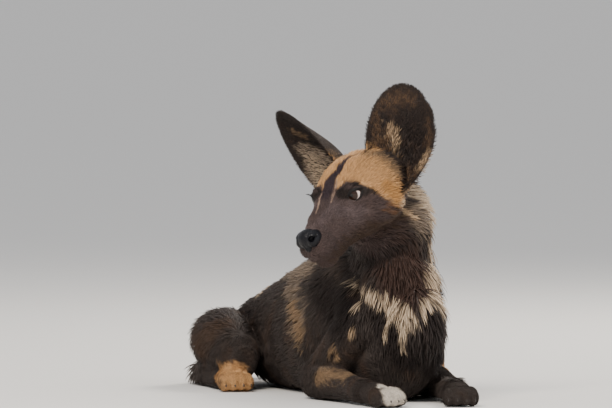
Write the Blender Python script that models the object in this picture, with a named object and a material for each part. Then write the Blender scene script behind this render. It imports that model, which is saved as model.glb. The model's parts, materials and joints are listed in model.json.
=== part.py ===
"""A young African wild dog that lies on its chest with its head turned to its right.

The dog's own frame: it faces -Y, its left side is +X, and the floor is z = 0.
Lengths are in metres. The body is modelled whole, then parted with thin cuts.
"""

import math
import random

import bmesh
import bpy
from mathutils import Matrix, Vector
from mathutils.bvhtree import BVHTree

# Driving sizes of the whole animal
TRUNK_LENGTH = 0.535
CHEST_DEPTH = 0.190
CHEST_WIDTH = 0.146
EYE_SPACING = 0.057
EYE_RADIUS = 0.0098
EAR_HEIGHT = 0.134
EAR_WIDTH = 0.0835
EAR_THICKNESS = 0.0032
PAW_WIDTH = 0.040

# The head's place and turn
MID_EYES = Vector((-0.0940, -0.0608, 0.2367))
HEAD_YAW = math.radians(61)
HEAD_PITCH = math.radians(30.6)
HEAD_ROLL = math.radians(8)

# Gaps, cuts and mesh fineness
GAP = 0.0003
SLICE_BLOCK = 2.0
BODY_VOXEL = 0.0042
HEAD_VOXEL = 0.0019
PAW_VOXEL = 0.0017
BODY_FACES = 3000
HEAD_FACES = 2300
PAW_FACES = 226
TUBE_SIDES = 24
ROOM_SIDES = 10
FLAT_ANGLES = (math.radians(2.0), math.radians(0.3), 0.0)
SLIVER = 0.00001

# Colour and roughness of each finish
FINISHES = {
    "coat_dark": ((0.045, 0.032, 0.026), 0.85),
    "coat_tan": ((0.46, 0.27, 0.12), 0.85),
    "coat_cream": ((0.62, 0.52, 0.40), 0.85),
    "nose_leather": ((0.02, 0.02, 0.024), 0.45),
    "eye_gloss": ((0.06, 0.03, 0.015), 0.1),
}


# Frames and curves

def head_axes():
    """The head's forward, left and up directions."""
    ahead = Vector((-math.sin(HEAD_YAW), -math.cos(HEAD_YAW), 0))
    forward = ahead * math.cos(HEAD_PITCH) - Vector((0, 0, math.sin(HEAD_PITCH)))
    level_left = Vector((0, 0, 1)).cross(ahead)
    level_up = forward.cross(level_left)
    left = level_left * math.cos(HEAD_ROLL) + level_up * math.sin(HEAD_ROLL)
    return forward, left, forward.cross(left)


FORWARD, LEFT, UP = head_axes()


def head_point(x, y, z):
    """A point of the head, from metres ahead of, left of and above the middle of the eyes."""
    return MID_EYES + FORWARD * x + LEFT * y + UP * z


def head_way(x, y, z):
    """A direction given in the head's own axes."""
    return (FORWARD * x + LEFT * y + UP * z).normalized()


def smooth_rows(rows, steps):
    """Rows of numbers read from a smooth curve through the given rows."""
    result = []
    last = len(rows) - 1
    for index in range(last):
        before = rows[max(index - 1, 0)]
        start = rows[index]
        end = rows[index + 1]
        after = rows[min(index + 2, last)]
        for step in range(steps):
            t = step / steps
            result.append([
                0.5 * (2 * b + (c - a) * t + (2 * a - 5 * b + 4 * c - d) * t * t
                       + (3 * b - a - 3 * c + d) * t ** 3)
                for a, b, c, d in zip(before, start, end, after)
            ])
    result.append(list(rows[last]))
    return result


# Closed forms

def ring(mesh, centre, side, top, width, height, power, sides):
    """One rounded section of a tube."""
    corners = []
    for index in range(sides):
        angle = 2 * math.pi * index / sides
        c, s = math.cos(angle), math.sin(angle)
        across = math.copysign(abs(c) ** (2 / power), c) * width
        along = math.copysign(abs(s) ** (2 / power), s) * height
        corners.append(mesh.verts.new(centre + side * across + top * along))
    return corners


def bridge(mesh, first, second):
    """The band of faces between two rings."""
    count = len(first)
    for index in range(count):
        following = (index + 1) % count
        mesh.faces.new((first[index], first[following], second[following], second[index]))


def add_tube(mesh, stations, facing, steps=4, power=2.0, sides=TUBE_SIDES, blunt=0.8, turns=(1.2, 0.8, 0.4)):
    """A closed tube with round ends. A station is x, y, z, half width, half height.

    The half height is measured towards the facing direction.
    """
    rows = smooth_rows(stations, steps)
    centres = [Vector(row[:3]) for row in rows]
    rings = []
    for index, row in enumerate(rows):
        tangent = centres[min(index + 1, len(rows) - 1)] - centres[max(index - 1, 0)]
        tangent.normalize()
        side = tangent.cross(facing).normalized()
        top = side.cross(tangent).normalized()
        rounds = [(0.0, 1.0)]
        if index in (0, len(rows) - 1):
            rounds = [(math.sin(turn) * blunt, math.cos(turn)) for turn in (*turns, 0.0)]
        outward = -1 if index == 0 else 1
        if index == len(rows) - 1:
            rounds.reverse()
        for push, shrink in rounds:
            centre = centres[index] + tangent * (outward * push * min(row[3], row[4]))
            rings.append(ring(mesh, centre, side, top, row[3] * shrink, row[4] * shrink, power, sides))
    for first, second in zip(rings, rings[1:]):
        bridge(mesh, first, second)
    mesh.faces.new(list(reversed(rings[0])))
    mesh.faces.new(rings[-1])


def add_blob(mesh, centre, radii, axes=None, rows=10):
    """A closed ellipsoid with its three radii along the given axes."""
    turn = Matrix(axes).transposed() if axes else Matrix.Identity(3)
    made = bmesh.ops.create_uvsphere(mesh, u_segments=2 * rows, v_segments=rows, radius=1)
    for vertex in made["verts"]:
        scaled = Vector([c * r for c, r in zip(vertex.co, radii)])
        vertex.co = Vector(centre) + turn @ scaled


def new_object(name, mesh):
    """An object in the scene from a bmesh, which is then freed."""
    bmesh.ops.recalc_face_normals(mesh, faces=mesh.faces)
    data = bpy.data.meshes.new(name)
    mesh.to_mesh(data)
    mesh.free()
    item = bpy.data.objects.new(name, data)
    bpy.context.collection.objects.link(item)
    return item


def apply_modifiers(item):
    """Put what an object's modifiers make into its own mesh."""
    graph = bpy.context.evaluated_depsgraph_get()
    made = bpy.data.meshes.new_from_object(item.evaluated_get(graph))
    item.modifiers.clear()
    old = item.data
    item.data = made
    bpy.data.meshes.remove(old)


def merge_forms(item, voxel, rounds):
    """Make overlapping closed forms one smooth skin."""
    remesh = item.modifiers.new("one_skin", "REMESH")
    remesh.mode = "VOXEL"
    remesh.voxel_size = voxel
    soften = item.modifiers.new("soften", "SMOOTH")
    soften.factor = 0.5
    soften.iterations = rounds
    apply_modifiers(item)


def thin_out(item, faces):
    """Bring a mesh down to about a number of triangles."""
    split = item.modifiers.new("split", "TRIANGULATE")
    split.quad_method = "SHORTEST_DIAGONAL"
    apply_modifiers(item)
    fewer = item.modifiers.new("fewer", "DECIMATE")
    fewer.ratio = min(1.0, faces / len(item.data.polygons))
    apply_modifiers(item)


def push_out(item, centre, reach, shift):
    """Move the surface round a point by a shift that fades to nothing at its reach."""
    for vertex in item.data.vertices:
        share = 1 - (vertex.co - centre).length_squared / reach ** 2
        if share > 0:
            vertex.co += shift * share * share


def split_faces(item):
    """Split an object's faces into triangles."""
    mesh = bmesh.new()
    mesh.from_mesh(item.data)
    bmesh.ops.triangulate(mesh, faces=mesh.faces)
    mesh.to_mesh(item.data)
    mesh.free()


def grown(item, distance):
    """A copy of an object whose surface stands out by a distance."""
    split_faces(item)
    copy = bpy.data.objects.new(item.name + "_room", item.data.copy())
    bpy.context.collection.objects.link(copy)
    for vertex in item.data.vertices:
        copy.data.vertices[vertex.index].co = vertex.co + vertex.normal * distance
    return copy


def combine(item, tool, operation):
    """Cut an object with another, join them, or keep what they share."""
    change = item.modifiers.new("combine", "BOOLEAN")
    change.operation = operation
    change.object = tool
    change.solver = "MANIFOLD"
    apply_modifiers(item)


def remove(*items):
    """Take objects out of the scene."""
    for item in items:
        bpy.data.objects.remove(item)


def without_flat_edges(mesh, angle):
    """A copy of a mesh without slivers or edges between faces that bend less than an angle."""
    trial = mesh.copy()
    bmesh.ops.dissolve_degenerate(trial, dist=SLIVER, edges=trial.edges)
    bmesh.ops.dissolve_limit(trial, angle_limit=angle, verts=trial.verts, edges=trial.edges)
    bmesh.ops.triangulate(trial, faces=trial.faces)
    return trial


def is_whole(mesh):
    """Whether every edge has two faces and no two corners share a place."""
    places = {tuple(round(c, 7) for c in vertex.co) for vertex in mesh.verts}
    return len(places) == len(mesh.verts) and all(len(edge.link_faces) == 2 for edge in mesh.edges)


def keep_largest(item):
    """Keep only the largest closed surface of an object."""
    mesh = bmesh.new()
    mesh.from_mesh(item.data)
    left = set(mesh.faces)
    groups = []
    while left:
        group = {left.pop()}
        edge = list(group)
        while edge:
            face = edge.pop()
            for other in (other for side in face.edges for other in side.link_faces):
                if other in left:
                    left.remove(other)
                    group.add(other)
                    edge.append(other)
        groups.append(group)
    groups.sort(key=len, reverse=True)
    for group in groups[1:]:
        bmesh.ops.delete(mesh, geom=list(group), context="FACES")
    bmesh.ops.triangulate(mesh, faces=mesh.faces)
    mesh.to_mesh(item.data)
    mesh.free()


def simplify(item):
    """Join an object's flat faces where that leaves it a whole closed surface."""
    mesh = bmesh.new()
    mesh.from_mesh(item.data)
    for angle in FLAT_ANGLES:
        trial = without_flat_edges(mesh, angle)
        whole = is_whole(trial)
        if whole:
            trial.to_mesh(item.data)
        trial.free()
        if whole:
            break
    mesh.free()


def slice_off(item, point, normal):
    """Cut away all that lies past a plane."""
    turn = normal.to_track_quat("Z", "X").to_matrix().to_4x4()
    place = Matrix.Translation(point + normal * SLICE_BLOCK / 2)
    mesh = bmesh.new()
    bmesh.ops.create_cube(mesh, size=SLICE_BLOCK, matrix=place @ turn)
    block = new_object("slice_block", mesh)
    combine(item, block, "DIFFERENCE")
    remove(block)


def part_by_plane(item, name, point, normal):
    """Split an object at a plane. The side the normal points to becomes a new object."""
    other = bpy.data.objects.new(name, item.data.copy())
    bpy.context.collection.objects.link(other)
    normal = Vector(normal).normalized()
    point = Vector(point)
    slice_off(item, point - normal * GAP / 2, normal)
    slice_off(other, point + normal * GAP / 2, -normal)
    return other


def part_by_form(item, name, form):
    """Take what lies inside a form out of an object as a new object, with a thin gap."""
    other = bpy.data.objects.new(name, item.data.copy())
    bpy.context.collection.objects.link(other)
    room = grown(form, GAP)
    combine(other, form, "INTERSECT")
    combine(item, room, "DIFFERENCE")
    remove(room, form)
    return other


# Trunk, neck and tail

# Each row is the share of the trunk's length from the breast back, then the half width,
# the top and the bottom as shares of the chest's width and depth
TRUNK_ROWS = (
    (0.00, 0.20, 0.74, 0.30),
    (0.06, 0.295, 0.88, 0.12),
    (0.15, 0.40, 0.98, -0.02),
    (0.26, 0.47, 1.01, -0.03),
    (0.40, 0.51, 0.94, -0.03),
    (0.54, 0.50, 0.84, -0.03),
    (0.68, 0.45, 0.73, -0.02),
    (0.80, 0.41, 0.65, 0.00),
    (0.91, 0.35, 0.57, 0.08),
    (1.00, 0.22, 0.46, 0.18),
)
BREAST_Y = -0.088
BREAST_PLACE = (-0.005, -0.038, 0.132)
BREAST_RADII = (0.047, 0.044, 0.062)
NECK_ROWS = (
    (0.004, 0.050, 0.105, 0.058, 0.068),
    (0.001, 0.010, 0.145, 0.051, 0.062),
    (-0.005, -0.012, 0.180, 0.047, 0.056),
    (-0.015, -0.022, 0.215, 0.054, 0.054),
    (-0.035, -0.029, 0.238, 0.044, 0.044),
)
TAIL_ROWS = (
    (0.000, 0.405, 0.076, 0.024, 0.022),
    (0.004, 0.450, 0.058, 0.021, 0.019),
    (0.030, 0.486, 0.032, 0.019, 0.018),
    (0.076, 0.494, 0.022, 0.022, 0.022),
    (0.122, 0.476, 0.023, 0.028, 0.026),
    (0.154, 0.432, 0.024, 0.030, 0.028),
    (0.162, 0.384, 0.021, 0.022, 0.024),
    (0.162, 0.356, 0.018, 0.008, 0.010),
)


def trunk_stations():
    """The trunk's sections in metres, from the breast to the tail's root."""
    rows = []
    for share, width, top, bottom in TRUNK_ROWS:
        rows.append((
            0.0,
            BREAST_Y + share * TRUNK_LENGTH,
            CHEST_DEPTH * (top + bottom) / 2,
            CHEST_WIDTH * width,
            CHEST_DEPTH * (top - bottom) / 2,
        ))
    return rows


# Legs of the left side; the right side is the mirror image with its own paw place

UPPER_ARM = (
    (0.038, 0.014, 0.128, 0.024, 0.034),
    (0.046, -0.010, 0.098, 0.024, 0.036),
    (0.055, 0.010, 0.066, 0.025, 0.033),
    (0.063, 0.042, 0.040, 0.022, 0.027),
    (0.067, 0.060, 0.028, 0.019, 0.024),
)
THIGH = (
    (0.052, 0.402, 0.064, 0.030, 0.029),
    (0.073, 0.373, 0.056, 0.040, 0.037),
    (0.086, 0.316, 0.049, 0.033, 0.038),
    (0.094, 0.266, 0.042, 0.025, 0.030),
    (0.096, 0.242, 0.036, 0.018, 0.022),
)
SHANK = (
    (0.096, 0.252, 0.035, 0.019, 0.022),
    (0.094, 0.308, 0.029, 0.021, 0.022),
    (0.092, 0.363, 0.023, 0.018, 0.018),
    (0.092, 0.396, 0.018, 0.014, 0.015),
    (0.093, 0.408, 0.016, 0.012, 0.014),
)
FOOT = (
    (0.093, 0.406, 0.015, 0.013, 0.015),
    (0.098, 0.363, 0.012, 0.013, 0.013),
    (0.103, 0.313, 0.011, 0.014, 0.012),
    (0.107, 0.278, 0.011, 0.016, 0.012),
)
ARM_TUCK = {"left": 0.014, "right": 0.0}
ELBOW = {"left": (0.066, 0.060, 0.025), "right": (0.072, 0.056, 0.025)}
WRIST = {"left": (0.040, -0.098, 0.016), "right": (0.070, -0.088, 0.016)}
FOREPAW_TIP = {"left": (0.022, -0.165, 0.010), "right": (0.060, -0.155, 0.010)}
HINDPAW_TIP = {"left": (0.113, 0.214, 0.010), "right": (0.113, 0.214, 0.010)}
FOREARM_GIRTH = (
    (0.00, 0.021, 0.026),
    (0.18, 0.020, 0.024),
    (0.50, 0.0165, 0.019),
    (0.80, 0.0135, 0.0155),
    (1.00, 0.0150, 0.0155),
)
WRIST_CUT = 0.012
SIDES = {"left": 1, "right": -1}


def to_side(rows, side):
    """Rows of the left side, mirrored for the right side."""
    return [(row[0] * SIDES[side], *row[1:]) for row in rows]


def arm_stations(side):
    """The upper arm's sections; the left arm is drawn in under the leaning chest."""
    rows = []
    for index, (x, *rest) in enumerate(UPPER_ARM):
        ease = min(1, (len(UPPER_ARM) - 1 - index) / 2)
        rows.append(((x - ARM_TUCK[side] * ease) * SIDES[side], *rest))
    return rows


def forearm_stations(side):
    """The forearm's sections from elbow to wrist."""
    start = Vector(to_side([ELBOW[side]], side)[0])
    end = Vector(to_side([WRIST[side]], side)[0])
    return [(*start.lerp(end, share), width, height) for share, width, height in FOREARM_GIRTH]


def add_forearm(mesh, side):
    """The forearm, which lies along the floor."""
    add_tube(mesh, forearm_stations(side), Vector((0, 0, 1)))


def wider(rows, extra):
    """The same sections with larger half widths and heights."""
    return [(*row[:-2], row[-2] + extra, row[-1] + extra) for row in rows]


def body_skin():
    """Trunk, neck, tail root and legs as one smooth closed skin."""
    up = Vector((0, 0, 1))
    mesh = bmesh.new()
    add_tube(mesh, trunk_stations(), up, power=2.3)
    add_tube(mesh, NECK_ROWS, Vector((0, 1, 0)))
    add_blob(mesh, BREAST_PLACE, BREAST_RADII)
    add_tube(mesh, TAIL_ROWS, up)
    for side in SIDES:
        add_tube(mesh, arm_stations(side), Vector((0, 1, 0)))
        add_forearm(mesh, side)
        add_tube(mesh, to_side(THIGH, side), up)
        add_tube(mesh, to_side(SHANK, side), up)
        add_tube(mesh, to_side(FOOT, side), up)
    skin = new_object("body_skin", mesh)
    merge_forms(skin, BODY_VOXEL, 12)
    thin_out(skin, BODY_FACES)
    return skin


# Paws

def add_toes(mesh, wrist, tip, width):
    """Four toes and the pad between a wrist or ankle and the paw's tip."""
    along = (tip - wrist).normalized()
    across = Vector((0, 0, 1)).cross(along).normalized()
    for index in range(4):
        place = (index - 1.5) / 1.5
        inner = 1 - abs(place)
        centre = tip - along * (0.017 - 0.006 * inner) + across * (place * width * 0.33)
        centre.z = 0.0115 + 0.0015 * inner
        heading = (along + across * place * 0.16).normalized()
        axes = (heading, Vector((0, 0, 1)).cross(heading), Vector((0, 0, 1)))
        add_blob(mesh, centre, (0.0175, 0.0078, 0.0120), axes)
    pad = wrist.lerp(tip, 0.42)
    pad.z = 0.0135
    add_blob(mesh, pad, (0.026, width * 0.44, 0.0145), (along, across, Vector((0, 0, 1))))


def add_claws(mesh, wrist, tip, width):
    """Four short bent claws past the toes."""
    along = (tip - wrist).normalized()
    across = Vector((0, 0, 1)).cross(along).normalized()
    for index in range(4):
        place = (index - 1.5) / 1.5
        inner = 1 - abs(place)
        root = tip + along * (0.006 * inner - 0.005) + across * (place * width * 0.37)
        heading = along + across * place * 0.16
        rows = []
        for reach, drop, girth in ((-0.006, 0.013, 0.0024), (0.002, 0.0115, 0.0020), (0.006, 0.0080, 0.0010)):
            centre = root + heading * reach
            rows.append((centre.x, centre.y, drop, girth, girth * 1.2))
        add_tube(mesh, rows, Vector((0, 0, 1)), steps=1, sides=5, turns=())


def paw(name, wrist, tip, width, overlap_rows):
    """A paw with its toes, claws and the start of the leg above it."""
    mesh = bmesh.new()
    add_toes(mesh, wrist, tip, width)
    add_tube(mesh, overlap_rows, Vector((0, 0, 1)))
    skin = new_object(name, mesh)
    merge_forms(skin, PAW_VOXEL, 4)
    thin_out(skin, PAW_FACES)
    claws = bmesh.new()
    add_claws(claws, wrist, tip, width)
    claw_item = new_object("claws", claws)
    combine(skin, claw_item, "UNION")
    remove(claw_item)
    slice_off(skin, Vector((0, 0, 0)), Vector((0, 0, -1)))
    return skin


# Head

# Each row is metres ahead of the eyes, half width, top and bottom of a section of the head
HEAD_ROWS = (
    (0.067, 0.0130, 0.0005, -0.036),
    (0.058, 0.0170, 0.0035, -0.045),
    (0.044, 0.0210, 0.0065, -0.052),
    (0.030, 0.0245, 0.0095, -0.050),
    (0.018, 0.0290, 0.0125, -0.051),
    (0.005, 0.0370, 0.0170, -0.053),
    (-0.010, 0.0450, 0.0220, -0.056),
    (-0.026, 0.0510, 0.0285, -0.058),
    (-0.044, 0.0540, 0.0320, -0.059),
    (-0.060, 0.0520, 0.0305, -0.057),
    (-0.076, 0.0450, 0.0220, -0.052),
    (-0.088, 0.0350, 0.0090, -0.046),
)
EYE_PLACE = (-0.0065, EYE_SPACING / 2, 0.0050)
EYE_AIM = (0.80, 0.58, 0.12)
EYE_SLOPE = 0.20
EYE_OPENING = (0.0105, 0.0056)
LID_DEPTH = 0.0019
NOSE_PLACE = (0.0665, 0.0, -0.0085)
MOUTH_ROUTE = (
    (0.0700, 0.000, -0.0265),
    (0.0640, 0.012, -0.0280),
    (0.0540, 0.020, -0.0300),
    (0.0400, 0.024, -0.0320),
    (0.0240, 0.028, -0.0345),
    (0.0100, 0.034, -0.0360),
    (0.0000, 0.040, -0.0350),
)


def head_stations():
    """The head's sections in the dog's frame."""
    rows = []
    for x, width, top, bottom in HEAD_ROWS:
        centre = head_point(x, 0, (top + bottom) / 2)
        rows.append((*centre, width, (top - bottom) / 2))
    return rows


def both_sides(x, y, z):
    """A point of the head's left side and its mirror image."""
    return head_point(x, y, z), head_point(x, -y, z)


def eye_frame(side):
    """The centre of an eyeball and its outward, along and upward directions."""
    sign = SIDES[side]
    centre = head_point(EYE_PLACE[0], EYE_PLACE[1] * sign, EYE_PLACE[2])
    aim = head_way(EYE_AIM[0], EYE_AIM[1] * sign, EYE_AIM[2])
    along = head_way(-EYE_AIM[1], EYE_AIM[0] * sign, EYE_SLOPE)
    along = (along - aim * along.dot(aim)).normalized()
    return centre, aim, along, aim.cross(along) * sign


def eye_opening(side):
    """A wedge that widens from the eyeball, in the almond outline between the lids."""
    centre, aim, along, up = eye_frame(side)
    mesh = bmesh.new()
    rings = []
    for reach, scale in ((0.25, 0.30), (2.0, 2.0)):
        corners = []
        for index in range(20):
            angle = 2 * math.pi * index / 20
            across = math.cos(angle)
            height = math.sin(angle) * math.sqrt(max(1 - abs(across) ** 1.5, 0)) * 1.12
            place = along * across * EYE_OPENING[0] + up * height * EYE_OPENING[1]
            corners.append(mesh.verts.new(centre + aim * EYE_RADIUS * reach + place * scale))
        rings.append(corners)
    bridge(mesh, *rings)
    mesh.faces.new(list(reversed(rings[0])))
    mesh.faces.new(rings[1])
    return new_object("eye_opening", mesh)


def eyeball(side):
    """The eye, a plain ball in its socket."""
    centre = eye_frame(side)[0]
    mesh = bmesh.new()
    add_blob(mesh, centre, (EYE_RADIUS,) * 3, rows=7)
    return new_object("eye_" + side, mesh)


def add_head_forms(mesh):
    """The skull, muzzle, lips, cheeks, brows and lids as overlapping closed forms."""
    add_tube(mesh, head_stations(), UP, power=2.25, blunt=0.5)
    add_tube(mesh, NECK_ROWS[2:], Vector((0, 1, 0)))
    axes = (FORWARD, LEFT, UP)
    for sign in (1, -1):
        add_blob(mesh, head_point(-0.032, 0.037 * sign, -0.022), (0.034, 0.021, 0.026), axes)
        add_blob(mesh, head_point(0.056, 0.0110 * sign, -0.0240), (0.018, 0.0115, 0.0140), axes)
        add_blob(mesh, head_point(-0.010, 0.0255 * sign, 0.0115), (0.016, 0.0080, 0.0068), axes)
    add_blob(mesh, head_point(0.053, 0, -0.0425), (0.0145, 0.0150, 0.0110), axes)
    for side in SIDES:
        centre, aim, along, up = eye_frame(side)
        reach = EYE_RADIUS + LID_DEPTH
        add_blob(mesh, centre, (reach, reach * 1.05, reach), (aim, along, up))


def mouth_cutter(head):
    """A thin tube along the closed lips, laid on the surface of the head."""
    tree = BVHTree.FromObject(head, bpy.context.evaluated_depsgraph_get())
    left = [head_point(x, y, z) for x, y, z in MOUTH_ROUTE]
    right = [head_point(x, -y, z) for x, y, z in MOUTH_ROUTE]
    route = list(reversed(right)) + left[1:]
    rows = []
    for point in route:
        place = tree.find_nearest(point)[0]
        rows.append((*place, 0.0010, 0.0010))
    mesh = bmesh.new()
    add_tube(mesh, rows, UP, steps=2, sides=4, turns=())
    return new_object("mouth_line", mesh)


def nose_pad():
    """The bare nose with its two nostrils and the groove between them."""
    axes = (FORWARD, LEFT, UP)
    mesh = bmesh.new()
    x, y, z = NOSE_PLACE
    add_blob(mesh, head_point(x, y, z), (0.0120, 0.0135, 0.0115), axes)
    add_blob(mesh, head_point(x + 0.001, y, z - 0.008), (0.0095, 0.0062, 0.0085), axes)
    for sign in (1, -1):
        add_blob(mesh, head_point(x - 0.001, 0.0088 * sign, z - 0.001), (0.0120, 0.0074, 0.0100), axes)
    pad = new_object("nose", mesh)
    merge_forms(pad, 0.0011, 4)
    thin_out(pad, 300)
    holes = bmesh.new()
    for sign in (1, -1):
        tilted = (head_way(0.75, 0.55 * sign, 0), head_way(-0.55, 0.75 * sign, 0), UP)
        nostril = head_point(x + 0.0085, 0.0078 * sign, z - 0.0010)
        add_blob(holes, nostril, (0.0046, 0.0029, 0.0032), tilted, 6)
    for sign in (1, -1):
        slit = head_point(x + 0.0035, 0.0136 * sign, z - 0.0035)
        add_blob(holes, slit, (0.0062, 0.0016, 0.0011), (head_way(1, -0.35 * sign, 0.25), LEFT, UP), 6)
    add_blob(holes, head_point(x + 0.0112, 0, z - 0.0085), (0.0030, 0.0007, 0.0085), axes, 6)
    cutter = new_object("nostrils", holes)
    merge_forms(cutter, 0.0006, 1)
    thin_out(cutter, 110)
    combine(pad, cutter, "DIFFERENCE")
    remove(cutter)
    keep_largest(pad)
    return pad


def head_skin():
    """The whole head, before the eyes, nose and ears are set in it."""
    mesh = bmesh.new()
    add_head_forms(mesh)
    head = new_object("head", mesh)
    merge_forms(head, HEAD_VOXEL, 5)
    for point in both_sides(0.016, 0.0330, 0.0020):
        push_out(head, point, 0.017, (head_point(0, 0, -0.02) - point).normalized() * 0.0035)
    for point in both_sides(0.040, 0.0230, -0.006):
        push_out(head, point, 0.018, (head_point(0.03, 0, -0.02) - point).normalized() * 0.0020)
    for point in (head_point(-0.020, 0, 0.027), head_point(-0.002, 0, 0.021)):
        push_out(head, point, 0.016, -UP * 0.0018)
    thin_out(head, HEAD_FACES)
    return head


# Ears

# The place of each ear's root on the head, then its axis and its opening's direction
EAR_ROOT = {"left": (-0.0576, 0.0420, -0.0103), "right": (-0.0576, -0.0420, -0.0103)}
EAR_AXIS = {"left": (-0.679, -0.056, 0.730), "right": (-0.082, -0.398, 0.914)}
EAR_OPENING = {"left": (0.614, 0.672, 0.415), "right": (0.943, -0.333, -0.009)}
EAR_MIDDLE = (0.009, 0.049)
EAR_CUP = 0.026
EAR_BEND = 0.012
EAR_TAPER = {"left": 0.07, "right": 0.0}
EAR_RINGS = 6
EAR_SPOKES = 20
NICKS = {"left": (0.30, 0.80), "right": ()}


def ear_frame(side):
    """The root of an ear and its axis, its outer side's direction and its opening's."""
    root = head_point(*EAR_ROOT[side])
    axis = head_way(*EAR_AXIS[side])
    opening = head_way(*EAR_OPENING[side])
    opening = (opening - axis * opening.dot(axis)).normalized()
    outer = axis.cross(opening) * SIDES[side]
    return root, axis, -outer if outer.dot(LEFT * SIDES[side]) < 0 else outer, opening


def ear_place(side, frame, share, angle, depth):
    """A point of the ear from its middle out to the rim, at a depth behind its opening."""
    root, axis, outer, opening = frame
    reach = share
    for nick in NICKS[side]:
        reach -= 0.05 * share ** 6 * math.exp(-((angle - nick) / 0.07) ** 2)
    across, along = math.cos(angle), math.sin(angle)
    if across > 0:
        across *= 1 - EAR_TAPER[side] * (1 - along) ** 3
    x = EAR_MIDDLE[0] + EAR_WIDTH / 2 * reach * across * (1 - 0.03 * along)
    y = EAR_MIDDLE[1] + EAR_HEIGHT / 2 * reach * along
    low = 1.5 - 1.4 * (y + 0.018) / EAR_HEIGHT
    cup = EAR_CUP * low * (1 - share ** 2.4)
    cup -= EAR_BEND * share ** 2 * (1 + math.cos(angle)) / 2 * (1 - along) / 2
    return root + outer * x + axis * y - opening * (cup + depth)


def ear(side):
    """A thin cup that is open to the front, with its root sunk in the head."""
    frame = ear_frame(side)
    mesh = bmesh.new()
    faces_of = []
    for depth_sign in (0, 1):
        rings = []
        for row in range(1, EAR_RINGS + 1):
            share = row / EAR_RINGS
            depth = depth_sign * EAR_THICKNESS * (1.0 - 0.45 * share ** 3)
            angles = [2 * math.pi * spoke / EAR_SPOKES for spoke in range(EAR_SPOKES)]
            rings.append([mesh.verts.new(ear_place(side, frame, share, a, depth)) for a in angles])
        pole = mesh.verts.new(ear_place(side, frame, 0, 0, depth_sign * EAR_THICKNESS))
        for first, second in zip(rings, rings[1:]):
            bridge(mesh, first, second)
        for spoke in range(EAR_SPOKES):
            mesh.faces.new((pole, rings[0][spoke], rings[0][(spoke + 1) % EAR_SPOKES]))
        faces_of.append(rings[-1])
    bridge(mesh, faces_of[0], faces_of[1])
    item = new_object("ear_" + side, mesh)
    thin_out(item, 10 ** 6)
    return item


# Long locks of the neck, breast and tail brush

# How far each coat's core lies in, then its locks' spacing, length, half width, half thickness
# and how far their tips stand off the plain surface
LOCK_KEYS = ("core", "spacing", "length", "width", "thickness", "lift")
LOCK_SIZES = {
    "head": dict(zip(LOCK_KEYS, (0.0020, 0.0240, 0.0400, 0.0118, 0.0022, 0.0060))),
    "neck": dict(zip(LOCK_KEYS, (0.0045, 0.0285, 0.0500, 0.0130, 0.0024, 0.0060))),
    "chest": dict(zip(LOCK_KEYS, (0.0035, 0.0258, 0.0420, 0.0115, 0.0023, 0.0052))),
    "tail_brush": dict(zip(LOCK_KEYS, (0.0070, 0.0275, 0.0560, 0.0140, 0.0026, 0.0060))),
}
BRUSH_CORE_FACES = 150
# Along a lock: shares of its length, of its width and of its lift; its last one is its tip
LOCK_SECTIONS = ((0.22, 1.00, 0.00), (0.62, 0.80, 0.72))
LOCK_TIP = (1.0, 0.75)
LOCK_ROOT = (0.04, 0.60, 0.0045)
LOCK_SEEDS = {"head": 6, "neck": 27, "chest": 47, "tail_brush": 63}
LENGTH_RANGE = (0.88, 1.12)
RAISES = (0.0, 0.0015, 0.0030, 0.0045)
NECK_LIE = (0.16, 0.34, -0.92)
NAPE_MIDDLE = (-0.022, -0.024, 0.0)
NAPE_WAY = (0.68, 0.73, 0.0)
NAPE_START = 0.014
NAPE_TOP = 0.266
BREAST_LIE = (0.10, -0.15, -1.0)
BREAST_BACK_Y = -0.030
BREAST_REACH = (0.056, 0.042, 0.150)
ROOT_CLEARANCE = 0.0060
FADE = 0.012


def nearest_on(trees, point):
    """The nearest place on some surfaces, its outward direction and how far it is."""
    place, normal, _, gap = min((tree.find_nearest(point) for tree in trees), key=lambda hit: hit[3])
    return place, normal, gap


def sink_core(item, trees, depth, share_at):
    """Lay an object's surface in by a depth that fades to nothing at its neighbours."""
    for vertex in item.data.vertices:
        share = min(nearest_on(trees, vertex.co)[2] / FADE, 1.0)
        vertex.co -= vertex.normal * depth * share * share_at(vertex.co)


def free_points(item, trees, spacing, draw, share_at):
    """Many points of an object's free surface, each with its outward direction."""
    found = []
    for face in item.data.polygons:
        corners = [item.data.vertices[index] for index in face.vertices]
        for _ in range(1 + int(10 * face.area / spacing ** 2)):
            a, b = sorted((draw.random(), draw.random()))
            shares = (a, b - a, 1 - b)
            point = sum((c.co * share for c, share in zip(corners, shares)), Vector())
            normal = sum((c.normal * share for c, share in zip(corners, shares)), Vector()).normalized()
            if share_at(point) > 0.5 and nearest_on(trees, point)[2] > ROOT_CLEARANCE:
                found.append((point, normal))
    return found


def spread_out(found, spacing):
    """Choose points so that none of those left out is further than a spacing from one."""
    chosen = [found[0]]
    distances = [(point - found[0][0]).length for point, _ in found]
    while max(distances) > spacing:
        pick = found[distances.index(max(distances))]
        chosen.append(pick)
        distances = [min(d, (point - pick[0]).length) for d, (point, _) in zip(distances, found)]
    return chosen


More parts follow.
